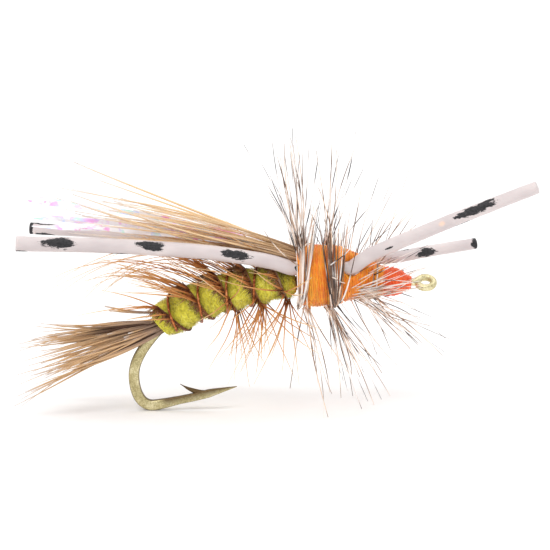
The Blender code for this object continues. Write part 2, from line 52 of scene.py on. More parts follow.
BEND = [(-3.0, 2.12), (-4.9, 1.66), (-6.6, 1.22), (-8.2, 0.88), (-9.6, 0.58), (-10.6, 0.47),
        (-11.35, 0.85), (-11.85, 1.75), (-12.05, 3.0), (-11.9, 4.1), (-11.4, 5.2)]
SHANK = [(-10.65, 6.25), (-9.7, 7.3), (-8.4, 8.35), (-6.6, 9.35), (-4.0, 10.3), (-1.0, 10.95),
         (2.0, 11.35), (5.5, 11.55), (9.0, 11.55), (12.3, 11.42)]
WIRE_R, SPEAR_R = 0.43, 0.33
FORGE_Y, FORGE_IN = 0.80, 1.10
EYE_CENTRE = (13.52, 11.40)
EYE_R, EYE_WIRE_R, EYE_ROLL = 0.70, 0.28, math.radians(30)
BARB_TIP = (-8.0, 2.34)
ABDOMEN_FRONT, ABDOMEN_REAR, ABDOMEN_LIFT = 2.15, -9.55, 0.22
SEGMENT, RIB_PHASE, QUILL_PHASE = 2.35, -8.5, -8.5
RIB_R, QUILL_R = 0.11, 0.10
TAIL_BASE_R = 0.98
WING_LIFT, WING_BASE_R, WING_SPREAD = 0.33, 0.94, 3.8
THORAX_LIFT, TIED_R = 0.55, 2.42
STRAND_R = {"right": 0.64, "left": 0.53}
STRAND_Y, STRAND_Z, STRAND_REAR, STRAND_FRONT = 1.48, 12.92, 2.5, 6.3
LEG_ROUTES = {
    "rear_right": [(-0.5, 1.75, 13.65), (-5.3, 2.5, 14.5), (-10.3, 3.2, 15.0), (-15.3, 3.8, 15.35),
                   (-21.9, 4.5, 15.6)],
    "rear_left": [(-0.5, 1.75, 13.6), (-5.3, 2.5, 14.4), (-10.3, 3.2, 14.9), (-15.3, 3.9, 15.25),
                  (-21.3, 4.5, 15.5)],
    "front_right": [(8.9, 1.9, 14.3), (12.95, 2.9, 16.25), (17.1, 3.9, 18.15), (22.75, 5.2, 20.6)],
    "front_left": [(9.0, 1.9, 13.2), (11.0, 2.45, 13.25), (13.9, 3.2, 13.65), (18.1, 4.3, 14.15)],
}
LEG_TIP_R = {"rear_right": 0.66, "rear_left": 0.53, "front_right": 0.55, "front_left": 0.5}
SWINGS = (0, 6, 12, 19, 25)


# ---- paths

def unit(vectors):
    vectors = np.asarray(vectors, float)
    return vectors / np.maximum(np.linalg.norm(vectors, axis=-1, keepdims=True), 1e-9)


def smooth(points, steps):
    """Catmull-Rom curve through the points, as part.py draws it."""
    knots = np.array(points, float)
    knots = np.vstack([2 * knots[0] - knots[1], knots, 2 * knots[-1] - knots[-2]])
    a, b, c, d = (knots[k:len(knots) - 3 + k, None, :] for k in range(4))
    t = (np.arange(steps) / steps)[None, :, None]
    path = 0.5 * (2 * b + (c - a) * t + (2 * a - 5 * b + 4 * c - d) * t * t
                  + (3 * b - a - 3 * c + d) * t ** 3)
    return np.vstack([path.reshape(-1, knots.shape[1]), knots[-2]])


SHANK_LINE = smooth(BEND[-1:] + SHANK, 12)
SHANK_SLOPE = unit(np.gradient(SHANK_LINE, axis=0))


def station(x):
    """Centre, forward and up of the shank where its centreline has this X."""
    x = np.asarray(x, float)
    z = np.interp(x, SHANK_LINE[:, 0], SHANK_LINE[:, 1])
    rise = np.interp(x, SHANK_LINE[:, 0], SHANK_SLOPE[:, 1])
    run = np.sqrt(1 - rise * rise)
    flat = np.zeros_like(x)
    return (np.stack([x, flat, z], -1), np.stack([run, flat, rise], -1),
            np.stack([-rise, flat, run], -1))


def around(x, degrees, radius, lift=0.0):
    """A point at an angle and a radius round the shank: 0 is the fly's right, 90 its top."""
    x, degrees, radius = np.broadcast_arrays(np.asarray(x, float), degrees, radius)
    centre, _, up = station(x)
    turn = np.radians(degrees)
    place = centre + up * (lift + radius * np.sin(turn))[..., None]
    place[..., 1] -= radius * np.cos(turn)
    return place


def outward(x, degrees):
    """The direction out from the shank at an angle, with forward and up at that X."""
    x, degrees = np.broadcast_arrays(np.asarray(x, float), degrees)
    _, forward, up = station(x)
    turn = np.radians(degrees)
    out = up * np.sin(turn)[..., None]
    out[..., 1] -= np.cos(turn)
    return out, forward, up


def bow(start, direction, tip, count, reach=0.4):
    """Curves that leave start in a direction and end at tip: (n, count, 3)."""
    start, tip = np.atleast_2d(start), np.atleast_2d(tip)
    span = np.linalg.norm(tip - start, axis=-1, keepdims=True)
    handle = (start + unit(direction) * span * reach)[:, None]
    t = np.linspace(0, 1, count)[None, :, None]
    return start[:, None] * (1 - t) ** 2 + handle * 2 * t * (1 - t) + tip[:, None] * t * t


def waver(paths, amount, rng, waves):
    """Lets each curve wander a little off its line, more towards its tip."""
    n, k, _ = paths.shape
    t = np.linspace(0, 1, k)[None, :, None]
    total = np.zeros_like(paths)
    for share, wave in ((1.0, waves), (0.35, waves * 2.3)):
        side = rng.normal(size=(n, 1, 3))
        phase = rng.uniform(0, math.tau, (n, 1, 1))
        total += share * side * (np.sin(math.tau * wave * t + phase) - np.sin(phase)) * t
    return paths + total * np.asarray(amount, float).reshape(-1, 1, 1)


def taper(count, *marks):
    """Values at even steps from 0 to 1, between marks of (place, value)."""
    return np.interp(np.linspace(0, 1, count), *zip(*marks))


def tube(line, across, other, wide, deep, sides):
    """Rings round a line, with a radius along each of two directions across it."""
    turn = math.tau * np.arange(sides) / sides
    wide, deep = (np.broadcast_to(radius, len(line))[:, None] for radius in (wide, deep))
    across, other = (np.broadcast_to(way, line.shape)[:, None] for way in (across, other))
    return line[:, None] + (across * (wide * np.cos(turn))[..., None]
                            + other * (deep * np.sin(turn))[..., None])


# ---- meshes

class Bundle:
    """Collects closed tubes and skins, with float attributes on their points, for one object."""

    def __init__(self, seed):
        self.rng = np.random.default_rng(seed)
        self.points, self.faces, self.values, self.count = [], [], [], 0

    def add(self, points, faces, shape, values):
        """Points (shape, 3) with faces between them, and values that broadcast to the shape."""
        self.points.append(points.reshape(-1, 3))
        self.faces += [[index + self.count for index in face] for face in faces]
        self.values.append({key: np.broadcast_to(value, shape).ravel()
                            for key, value in values.items()})
        self.count += len(self.points[-1])

    def grid(self, rows, **values):
        """Skin closed rings (rows, sides, 3) and cap both ends with fans of their own."""
        count, sides, _ = rows.shape
        index = np.arange(count * sides).reshape(count, sides)
        turned = np.roll(index, -1, axis=1)
        quads = np.stack([index[:-1], turned[:-1], turned[1:], index[1:]], -1).reshape(-1, 4)
        faces = quads.tolist() + [index[0, ::-1].tolist(), index[-1].tolist()]
        self.add(rows, faces, (count, sides), values)

    def drum(self, rows, hubs, inner, outer, **values):
        """A grid whose ends are drawn in towards hubs, to shares of the size of their rings."""
        shares = np.linspace(inner, outer, 4)[:, None, None]
        rear, fore = (hub + (ring - hub) * shares for hub, ring in zip(hubs, (rows[0], rows[-1])))
        self.grid(np.vstack([rear, rows, fore[::-1]]),
                  **{key: np.pad(value, ((4, 4), (0, 0)), "edge") if np.ndim(value) else value
                     for key, value in values.items()})

    def strands(self, paths, radii, sides, side=None, **values):
        """Tapering closed strands along paths (n, k, 3), radii (n, k), (k,) or one number."""
        n, k, _ = paths.shape
        radii = np.broadcast_to(radii, (n, k))
        along = unit(np.gradient(paths, axis=1))
        chord = unit(paths[:, -1] - paths[:, 0])
        if side is None:
            side = self.rng.normal(size=(n, 3))
        lean = unit(side - chord * np.sum(side * chord, -1, keepdims=True))
        across = unit(np.cross(along, lean[:, None, :]))
        other = unit(np.cross(along, across))
        turn = np.arange(sides) * math.tau / sides + math.pi / sides
        cos, sin = np.cos(turn)[:, None], np.sin(turn)[:, None]
        ring = across[:, :, None] * cos + other[:, :, None] * sin
        points = paths[:, :, None] + ring * radii[:, :, None, None]
        index = np.arange(n * k * sides).reshape(n, k, sides)
        turned = np.roll(index, -1, axis=2)
        quads = np.stack([index[:, :-1], index[:, 1:], turned[:, 1:], turned[:, :-1]], -1)
        faces = quads.reshape(-1, 4).tolist() + index[:, 0].tolist() + index[:, -1, ::-1].tolist()
        spread = {"along": np.linspace(0, 1, k)[None, :], **values}
        self.add(points, faces, (n, k, sides),
                 {key: np.broadcast_to(value, (n, k))[:, :, None] for key, value in spread.items()})

    def clear_strands(self, paths, radii, sides, margin=0.1, keep=True, **values):
        """Strands for the curves that keep clear of the legs.

        A value is one number, one row for each curve, or (low, high) to draw from."""
        keep = clear_of_legs(paths, margin) & keep
        for key, value in values.items():
            if isinstance(value, tuple):
                values[key] = self.rng.uniform(*value, (keep.sum(), 1))
            elif np.ndim(value):
                values[key] = value[keep]
        self.strands(paths[keep], radii[keep], sides, **values)

    def piece(self, name, look, slot, *nodes, body="body", sharp=None):
        mesh = bpy.data.meshes.new(name)
        mesh.from_pydata((np.vstack(self.points) * MM).tolist(), [], self.faces)
        mesh.shade_smooth()
        if sharp is not None:
            mesh.set_sharp_from_angle(angle=math.radians(sharp))
        for key in sorted({key for part in self.values for key in part}):
            values = [part.get(key, np.zeros(len(points)))
                      for part, points in zip(self.values, self.points)]
            layer = mesh.attributes.new(key, "FLOAT", "POINT")
            layer.data.foreach_set("value", np.concatenate(values).astype(np.float32))
        mesh.materials.append(LOOKS[look])
        obj = bpy.data.objects.new(name, mesh)
        bpy.context.scene.collection.objects.link(obj)
        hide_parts(*nodes)
        if body:
            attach(obj, body)
        return obj


def ripple(points, size, seed=0.0):
    """Smooth noise from -1 to 1 at each point, with features of a size in millimetres."""
    shift = Vector((seed, seed * 0.7, -seed))
    values = [noise.noise(Vector(p) + shift) for p in points.reshape(-1, 3) / size]
    return np.array(values).reshape(points.shape[:-1])


# ---- materials

EVEN = (1, 1, 1)            # noise that isn't stretched along an axis

def srgb(red, green, blue):
    channels = [c / 255 for c in (red, green, blue)]
    linear = [c / 12.92 if c <= 0.04045 else ((c + 0.055) / 1.055) ** 2.4 for c in channels]
    return (*linear, 1.0)


class Paint:
    """A procedural material on a Principled shader, with coordinates in millimetres.

    A colour is (red, green, blue) from 0 to 255."""

    def __init__(self, name, **constants):
        self.material = bpy.data.materials.new(name)
        self.material.use_nodes = True
        self.tree = self.material.node_tree
        self.shader = self.tree.nodes["Principled BSDF"]
        for socket, value in constants.items():
            self.shader.inputs[socket.replace("_", " ")].default_value = value
        coordinates = self.node("ShaderNodeTexCoord")
        self.place = self.node("ShaderNodeVectorMath", operation="SCALE")
        self.place.inputs["Scale"].default_value = 1 / MM
        self.tree.links.new(coordinates.outputs["Object"], self.place.inputs[0])

    def node(self, kind, **settings):
        made = self.tree.nodes.new(kind)
        for key, value in settings.items():
            setattr(made, key, value)
        return made

    def put(self, made, entries):
        """Links or sets the inputs of a node, by name or number."""
        for key, value in entries.items():
            if isinstance(value, bpy.types.NodeSocket):
                self.tree.links.new(value, made.inputs[key])
            else:
                made.inputs[key].default_value = srgb(*value) if isinstance(value, tuple) else value

    def read(self, attribute):
        return self.node("ShaderNodeAttribute", attribute_name=attribute).outputs["Fac"]

    def noise(self, size, detail=2.0, stretch=EVEN, rough=0.5):
        stretched = self.node("ShaderNodeVectorMath", operation="MULTIPLY")
        self.put(stretched, {0: self.place.outputs[0], 1: [s / size for s in stretch]})
        made = self.node("ShaderNodeTexNoise")
        self.put(made, {"Vector": stretched.outputs[0], "Scale": 1.0, "Detail": detail,
                        "Roughness": rough})
        return made.outputs["Fac"]

    def math(self, operation, *entries):
        made = self.node("ShaderNodeMath", operation=operation)
        self.put(made, dict(enumerate(entries)))
        return made.outputs[0]

    def scaled(self, value, factor, offset=0.0):
        return self.math("MULTIPLY_ADD", value, factor, offset)

    def add(self, *terms):
        """The sum of values; (value, factor) or (value, factor, offset) is scaled first."""
        total, *others = (self.scaled(*term) if isinstance(term, tuple) else term for term in terms)
        for term in others:
            total = self.math("ADD", total, term)
        return total

    def span(self, value, low, high):
        """From 0 where the value is low to 1 where it is high."""
        made = self.node("ShaderNodeMapRange", interpolation_type="SMOOTHSTEP")
        self.put(made, {0: value, 1: low, 2: high, 3: 0.0, 4: 1.0})
        return made.outputs[0]

    def ramp(self, factor, *stops):
        made = self.node("ShaderNodeValToRGB")
        marks = made.color_ramp.elements
        while len(marks) < len(stops):
            marks.new(0.5)
        for mark, (position, colour) in zip(marks, stops):
            mark.position, mark.color = position, srgb(*colour)
        self.put(made, {0: factor})
        return made.outputs[0]

    def mix(self, factor, a, b):
        made = self.node("ShaderNodeMix", data_type="RGBA")
        self.put(made, {0: factor, 6: a, 7: b})
        return made.outputs[2]

    def finish(self, colour, roughness, height, depth, strength):
        """Sets colour, roughness (None leaves the constant) and a bump from a height."""
        bump = self.node("ShaderNodeBump")
        self.put(bump, {"Distance": depth * MM, "Strength": strength, "Height": height})
        self.put(self.shader, {"Base Color": colour, "Normal": bump.outputs[0]})
        if roughness is not None:
            self.put(self.shader, {"Roughness": roughness})
        return self.material


def hook_look():
    """Bronzed wire: satin khaki flats, faint draw lines, painted dark reflection on the round
    edges.
    """
    paint = Paint("bronzed_wire", Metallic=0.75, Specular_IOR_Level=0.5)
    fine = paint.noise(0.07, 2.0, (0.5, 1, 0.5))
    cloud = paint.noise(0.9, 3.0)
    # edge: a painted dark reflection, jittered by the clouds, that mixes the flats to dark olive
    edge = paint.span(paint.add(paint.read("edge"), (cloud, 0.4, -0.2)), 0.3, 0.95)
    # the flats grow paler with the noise, and paler still on the eye
    worn = paint.add((fine, 0.5), (cloud, 0.5), (paint.read("worn"), 0.16))
    flat = paint.ramp(worn, (0.34, (158, 145, 100)), (0.5, (198, 187, 140)),
                      (0.64, (232, 223, 182)))
    colour = paint.mix(edge, flat, (98, 78, 50))
    return paint.finish(colour, paint.scaled(fine, 0.25, 0.24), fine, 0.012, 0.5)


def fibre_look(name, stops, fine, cloud, tint, rough, depth, strength, **constants):
    """Thread and floss: fine fibres over slow clouds, each (size, detail, stretch, weight)."""
    paint = Paint(name, **constants)
    fibres, clouds = (paint.noise(*entry[:3]) for entry in (fine, cloud))
    terms = [(fibres, fine[3]), (clouds, cloud[3])]
    if tint:
        terms.append((paint.read("tint"), *tint))
    relief, gloss = rough
    return paint.finish(paint.ramp(paint.add(*terms), *stops),
                        paint.scaled((fibres, clouds)[gloss], *relief), fibres, depth, strength)


def thread_look(name, light, dark):
    return fibre_look(name, [(0.35, dark), (0.65, light)], (0.09, 2.0, (0.35, 1, 1), 0.7),
                      (0.8, 2.0, EVEN, 0.3), (0.3, -0.15), ((0.3, 0.32), 0), 0.02, 0.6,
                      Sheen_Weight=0.15, Sheen_Roughness=0.5)


def plain_thread_look(name, light, dark):
    """For the CAD windings that stay under others: narrow bands across the shank."""
    return fibre_look(name, [(0.38, dark), (0.62, light)], (0.07, 1.0, (1, 0.08, 0.08), 0.7),
                      (0.3, 2.0, EVEN, 0.3), None, ((0.3, 0.4), 1), 0.04, 0.8, Roughness=0.55)


def fur_look():
    """Dubbed fur: yellow-olive with grey-green and darker fibres blended in."""
    paint = Paint("olive_dubbing", Roughness=0.85, Sheen_Weight=0.2)
    fine = paint.noise(0.22, 3.0, rough=0.6)
    cloud = paint.noise(1.7, 2.0)
    shade = paint.add((fine, 0.55), (cloud, 0.35), (paint.read("tint"), 0.55, -0.22),
                      (paint.read("shade"), 0.5))
    colour = paint.ramp(shade, (0.14, (112, 98, 28)), (0.32, (182, 172, 44)),
                        (0.48, (222, 213, 64)), (0.74, (242, 236, 128)))
    return paint.finish(colour, None, fine, 0.05, 0.7)


def copper_look():
    paint = Paint("copper_wire", Metallic=0.9)
    wear = paint.noise(0.25, 3.0)
    colour = paint.ramp(wear, (0.35, (110, 58, 34)), (0.55, (186, 108, 62)),
                        (0.75, (232, 166, 112)))
    return paint.finish(colour, paint.scaled(wear, 0.3, 0.2), wear, 0.01, 0.5)


def hair_look(name, root, dark, body, gold, tip):
    """Deer-family hair: darker by the roots, taupe, then tan and gold, and pale fine tips."""
    paint = Paint(name, Roughness=0.5, Specular_IOR_Level=0.35)
    grain = paint.noise(0.35, 2.0)
    tint = paint.read("tint")
    along = paint.add(paint.read("along"), (grain, 0.16, -0.08))
    colour = paint.ramp(along, (0.0, root), (0.16, body), (0.55, gold), (0.85, gold), (1.0, tip))
    near = paint.span(along, 0.95, 0.4)
    for low, high, other in ((0.5, 0.9, body), (0.42, 0.1, dark)):
        share = paint.math("MULTIPLY", paint.span(tint, low, high), near)
        colour = paint.mix(share, colour, other)
    return paint.finish(colour, paint.scaled(grain, 0.3, 0.38), grain, 0.01, 0.4)


def brown_look():
    """Brown feather: dark webby base, ginger barbs, paler tips."""
    paint = Paint("brown_feather", Roughness=0.5, Specular_IOR_Level=0.3)
    grain = paint.noise(0.3, 2.0)
    shade = paint.add(paint.read("along"), (paint.read("tint"), 0.36, -0.18), (grain, 0.2, -0.1))
    colour = paint.ramp(shade, (0.0, (96, 50, 28)), (0.1, (154, 88, 44)), (0.3, (204, 134, 72)),
                        (0.75, (226, 174, 114)), (1.0, (238, 212, 178)))
    colour = paint.mix(paint.read("web"), colour, (84, 44, 26))
    return paint.finish(colour, paint.scaled(grain, 0.3, 0.35), grain, 0.01, 0.4)


def grizzly_look():
    """Grizzly feather: cream barbs crossed by charcoal bars that shift from barb to barb."""
    paint = Paint("grizzly_feather", Roughness=0.5, Specular_IOR_Level=0.3)
    grain = paint.noise(0.2, 2.0)
    tint = paint.read("tint")
    bar = paint.span(paint.add(paint.read("bar"), (grain, 0.3, -0.15)), 0.1, 0.9)
    light = paint.ramp(tint, (0.0, (234, 204, 178)), (0.4, (242, 228, 216)),
                       (1.0, (248, 242, 240)))
    dark = paint.ramp(tint, (0.0, (150, 116, 92)), (0.5, (116, 92, 78)), (0.8, (80, 68, 64)),
                      (1.0, (52, 48, 48)))
    return paint.finish(paint.mix(bar, light, dark), paint.scaled(grain, 0.3, 0.35), grain,
                        0.01, 0.3)


def flash_look():
    """Pearl film: clear to white, with pink, lilac and blue-green gleams along the strand."""
    paint = Paint("pearl_flash", Roughness=0.18, Metallic=0.15, Coat_Weight=0.6,
                  Coat_Roughness=0.08)
    hue = paint.noise(1.5, 1.0)
    gleam = paint.noise(0.9, 2.0)
    colours = paint.ramp(hue, (0.3, (206, 244, 226)), (0.4, (214, 226, 252)),
                         (0.48, (232, 206, 252)), (0.56, (250, 196, 244)), (0.68, (242, 150, 206)))
    colour = paint.mix(paint.span(gleam, 0.5, 0.57), (247, 245, 249), colours)
    return paint.finish(colour, paint.scaled(gleam, 0.25, 0.08), gleam, 0.02, 0.4)


def rubber_look():
    """White silicone rubber, faintly lilac, with ragged black printed marks."""
    paint = Paint("white_rubber", Subsurface_Weight=0.2, Subsurface_Scale=0.0006,
                  Specular_IOR_Level=0.4, Subsurface_Radius=(1.0, 0.8, 0.8))
    cloud = paint.noise(1.6, 2.0, (0.5, 1, 1))
    fine = paint.noise(0.12, 3.0, (0.6, 1, 1))
    rag = paint.noise(0.26, 5.0, (0.25, 1, 1), 0.8)
    base = paint.ramp(cloud, (0.3, (200, 190, 190)), (0.55, (210, 200, 199)),
                      (0.75, (218, 208, 206)))
    base = paint.mix(paint.span(paint.read("stain"), 0.2, 1.0), base, (244, 208, 184))
    ink = paint.span(paint.add(paint.read("mark"), (rag, 2.4, -1.2)), -0.05, 0.08)
    black = paint.ramp(fine, (0.35, (20, 20, 22)), (0.7, (54, 52, 56)))
    rough = paint.add((fine, 0.2, 0.3), (ink, 0.15))
    return paint.finish(paint.mix(ink, base, black), rough, paint.add(fine, (ink, 0.6)), 0.015, 0.5)


def floss_look(name, light, middle, dark):
    """Stranded orange floss with painted glints on its fibres and painted shade in its gaps."""
    return fibre_look(name, [(0.22, dark), (0.45, middle), (0.68, light)],
                      (0.08, 2.0, (1, 0.3, 0.3), 0.35), (0.7, 2.0, EVEN, 0.3), (0.4, -0.05),
                      ((0.3, 0.3), 0), 0.03, 0.7, Roughness=0.45, Sheen_Weight=0.2)


LOOKS = {
    "hook": hook_look(),
    "tan_thread": plain_thread_look("tan_thread", (196, 150, 96), (120, 82, 44)),
    "orange_thread": plain_thread_look("orange_thread_under", (255, 156, 50), (238, 110, 20)),
    "head_thread": thread_look("orange_thread", (250, 114, 42), (222, 60, 8)),
    "tail_thread": thread_look("tan_thread_turns", (200, 160, 104), (128, 92, 48)),
    "fur": fur_look(),
    "copper": copper_look(),
    "tail": hair_look("elk_hair_tail", (98, 70, 50), (76, 50, 34), (154, 128, 110),
                      (212, 174, 130), (222, 214, 210)),
    "wing": hair_look("elk_hair_wing", (108, 72, 48), (128, 90, 62), (204, 168, 136),
                      (242, 208, 162), (230, 220, 212)),
    "brown": brown_look(),
    "grizzly": grizzly_look(),
    "flash": flash_look(),
    "rubber": rubber_look(),
    "floss": floss_look("orange_floss", (255, 188, 46), (255, 144, 14), (232, 92, 2)),
    "wing_butts": plain_thread_look("cut_elk_hair", (206, 166, 118), (132, 98, 64)),
    "thorax_core": plain_thread_look("orange_dubbing_under", (240, 130, 30), (180, 78, 14)),
}


# ---- hook

SPEAR_END_X, SPEAR_TOP_Z = -8.0, 2.6          # the straight part of the wire behind the point
NECK_X, NECK_LENGTH = 10.5, 1.8               # where the wire narrows towards the eye

def hook_rings(path, along, sides=28):
    """Rings across the wire: round on the shank, pressed flat at the sides round the bend."""
    x, height = path.T
    reach = np.linalg.norm(path - path[0], axis=1)
    behind = np.clip((SPEAR_END_X - x) / 2.2, 0, 1)
    radius = np.where((x < SPEAR_END_X) | (height > SPEAR_TOP_Z),
                      SPEAR_R + (WIRE_R - SPEAR_R) * behind,
                      SPEAR_R * np.clip(0.10 + 0.36 * reach, 0, 1))
    radius = np.where(height > 4.0, WIRE_R, radius)
    radius = radius - (WIRE_R - EYE_WIRE_R) * np.clip((x - NECK_X) / NECK_LENGTH, 0, 1)
    forge = np.clip((7.0 - height) / 2.0, 0, 1)
    turn = math.tau * np.arange(sides) / sides
    squared = 2 / (2 + 1.8 * forge)[:, None]
    deep, wide = (np.sign(way) * np.abs(way) ** squared
                  * (radius * (1 + (most - 1) * forge))[:, None]
                  for way, most in ((np.cos(turn), FORGE_IN), (np.sin(turn), FORGE_Y)))
    across = np.stack([along[:, 1], 0 * height, -along[:, 0]], -1)
    rows = np.stack([x, 0 * height, height], -1)[:, None] + across[:, None] * deep[:, :, None]
    rows[:, :, 1] += wide
    # edge marks where a dark reflection is painted: the round edges all along, and the spear, most
    # on its top
    spear = np.clip((x + 10.6) / 1.5, 0, 1) * (height < SPEAR_TOP_Z)
    edge = np.maximum(np.cos(turn) ** 2, spear[:, None] * np.clip(0.62 + 0.5 * np.cos(turn), 0, 1))
    return rows, edge


def make_hook():
    bundle = Bundle(1)
    path = smooth(BEND + SHANK, 9)
    rows, edge = hook_rings(path, unit(np.gradient(path, axis=0)))
    bundle.grid(rows, edge=edge)

    # barb: a tongue raised from the upper side of the spear
    spine = smooth([(-5.4, 1.64), (-6.3, 1.62), (-7.15, 1.88), BARB_TIP], 6)
    lean = unit(np.gradient(spine, axis=0))
    share = np.linspace(0, 1, len(spine))
    thick = 0.13 + 0.10 * np.sin(math.pi * np.minimum(share * 1.15, 1)) - 0.105 * share ** 3
    broad = 0.22 * (1 - share ** 2.2) + 0.025
    # the barb takes the painted dark reflection nearly all over (edge 0.95)
    bundle.grid(tube(np.stack([spine[:, 0], 0 * share, spine[:, 1]], -1),
                     np.stack([-lean[:, 1], 0 * share, lean[:, 0]], -1), (0, 1, 0),
                     thick, broad, 12), edge=0.95)

    # eye: the wire goes on round the ring and comes back to the shank
    cos, sin = math.cos(EYE_ROLL), math.sin(EYE_ROLL)
    roll = np.array([[1, 0, 0], [0, cos, -sin], [0, sin, cos]])
    turn = np.radians(np.linspace(148, -164, 62))
    loop = (np.stack([EYE_R * np.cos(turn), EYE_R * np.sin(turn), 0 * turn], -1) @ roll.T
            + (EYE_CENTRE[0], 0, EYE_CENTRE[1]))
    neck = np.array([SHANK[-1][0], 0, SHANK[-1][1]])
    lead = neck + [(-0.45, 0, 0.01), (0.05, 0.02, 0), (0.3, 0.07, 0)]
    ring = smooth(np.vstack([lead, loop[::4], loop[-1]]), 4)
    side = unit(np.cross(unit(np.gradient(ring, axis=0)), roll[:, 2]))
    last = len(ring) - 1
    thick = np.interp(np.arange(len(ring)), [0, 8, last - 5, last], [EYE_WIRE_R, 0.31, 0.31, 0.2])
    # the eye: no painted dark reflection (edge -0.3), and a paler colour
    bundle.grid(tube(ring, roll[:, 2], side, thick, thick, 20), edge=-0.3, worn=0.5)
    bundle.piece("fly_hook", "hook", "hook", "hook", sharp=60)


# ---- abdomen, rib and brown feather

def groove(x, degrees):
    """1 in the grooves that the rib lies in, -1 midway between them."""
    return np.cos(math.tau * (x - RIB_PHASE - SEGMENT * degrees / 360) / SEGMENT)


def abdomen_surface(x, degrees, above=0.0):
    along = (x - ABDOMEN_REAR) / (ABDOMEN_FRONT - ABDOMEN_REAR)
    radius = 1.62 - 0.22 * along + 0.12 * np.sin(math.pi * along)
    radius = radius * (np.minimum(1, 0.72 + 0.5 * (x - ABDOMEN_REAR))
                       * np.minimum(1, 0.76 + 0.3 * (ABDOMEN_FRONT - x)))
    return around(x, degrees, radius - 0.09 * groove(x, degrees) + above, ABDOMEN_LIFT)


def fur_shade(x, degrees, depth):
    """Darker in the grooves, and on top under the wing."""
    top = np.clip(np.sin(np.radians(degrees)) + 0.4, 0, 1)
    return (-depth * np.clip(groove(x, degrees), 0, 1) ** 3
            - 0.34 * np.clip((x + 1.0) / 3.2, 0, 1) * top)


def make_abdomen():
    bundle = Bundle(2)
    steps, sides = 170, 84
    ends = np.array([ABDOMEN_REAR, ABDOMEN_FRONT])
    x, degrees = np.meshgrid(np.linspace(*ends, steps), 360 * np.arange(sides) / sides,
                             indexing="ij")
    flat = abdomen_surface(x, degrees)
    lumps = 0.05 * ripple(flat, 0.55, 3.0) + 0.03 * ripple(flat, 0.2, 9.0)
    bundle.drum(abdomen_surface(x, degrees, lumps - 0.03), around(ends, 90, 0, ABDOMEN_LIFT),
                0.35, 0.97, tint=0.4, shade=fur_shade(x, degrees, 0.30))

    count = 2700
    rng = bundle.rng
    x = rng.uniform(ABDOMEN_REAR + 0.1, ABDOMEN_FRONT - 0.1, count)
    degrees = rng.uniform(0, 360, count)
    root = abdomen_surface(x, degrees, -0.04)
    out, forward, _ = outward(x, degrees)
    heading = rng.normal(0, 0.55, count)[:, None]
    level = np.cross(forward, out) * np.cos(heading) + forward * np.sin(heading)
    rise = rng.uniform(0.05, 0.5, count)[:, None] ** 1.6
    length = rng.uniform(0.3, 0.95, count)[:, None]
    tip = root + (level + out * rise) * length - out * 0.22 * length ** 2
    paths = waver(bow(root, level * 0.6 + out * (rise + 0.5), tip, 5), 0.02, rng, 1.0)
    thick = np.outer(rng.uniform(0.013, 0.022, count), [1, 1, 0.9, 0.7, 0.3])
    bundle.strands(paths, thick, 3, tint=rng.uniform(0.05, 1, (count, 1)),
                   shade=fur_shade(x, degrees, 0.25)[:, None])
    bundle.piece("abdomen_fur", "fur", "olive_dubbing", "abdomen_dubbing")


def winding(x_rear, x_front, phase, sense, per_turn=60):
    start, end = ((x - phase) / SEGMENT * 360 * sense for x in (x_rear, x_front))
    count = int(abs(end - start) / 360 * per_turn) + 1
    return np.linspace(x_rear, x_front, count), np.linspace(start, end, count)


QUILL = winding(-8.9, 1.49, QUILL_PHASE, -1)
QUILL_LINE = abdomen_surface(*QUILL, TOUCH + QUILL_R)


def make_rib():
    x, degrees = winding(-8.75, 0.0, RIB_PHASE, 1)
    line = abdomen_surface(x, degrees, TOUCH + QUILL_R)
    near = np.min(np.linalg.norm(line[:, None] - QUILL_LINE[None], axis=-1), axis=1)
    clear = np.clip((near - 2.4 * RIB_R) / (4 * RIB_R), 0, 1)
    ride = (2 * QUILL_R + TOUCH) * (1 - clear * clear * (3 - 2 * clear))
    path = abdomen_surface(x, degrees, TOUCH * 2 + RIB_R + ride)
    along = unit(np.gradient(path, axis=0))
    side = unit(np.cross(along, outward(x, degrees)[0]))
    bundle = Bundle(3)
    bundle.grid(tube(path, side, unit(np.cross(side, along)), RIB_R, RIB_R, 12))
    bundle.piece("copper_rib", "copper", "copper_wire", "rib_wire")


def leg_pivot(name):
    end, side = name.split("_")
    x = (STRAND_REAR - TOUCH - STRAND_R[side] if end == "rear"
         else STRAND_FRONT + TOUCH + STRAND_R[side])
    return np.array([x, -STRAND_Y if side == "right" else STRAND_Y, STRAND_Z])


def leg_line(name, steps=10):
    side = -1 if name.endswith("right") else 1
    return smooth([leg_pivot(name)] + [(x, side * y, z) for x, y, z in LEG_ROUTES[name]], steps)


def swept_legs():
    """Points along each leg at several swing angles, with the leg's radius."""
    places, radii = [], []
    for name in LEG_ROUTES:
        line, pivot = leg_line(name, 14), leg_pivot(name)
        sense = 1 if name in ("rear_right", "front_left") else -1
        for swing in SWINGS:
            cos, sin = math.cos(math.radians(swing)), math.sin(math.radians(swing)) * sense
            turn = np.array([[cos, -sin, 0], [sin, cos, 0], [0, 0, 1]])
            places.append((line - pivot) @ turn.T + pivot)
            radii.append(np.full(len(line), STRAND_R[name.split("_")[1]]))
    return np.vstack(places), np.concatenate(radii)


LEG_POINTS, LEG_RADII = swept_legs()


def clear_of_legs(paths, margin):
    """True for each curve that stays out of the way of every leg over its whole swing."""
    return np.array([
        (np.linalg.norm(path[:, None] - LEG_POINTS[None], axis=-1) - LEG_RADII).min() > margin
        for path in paths])


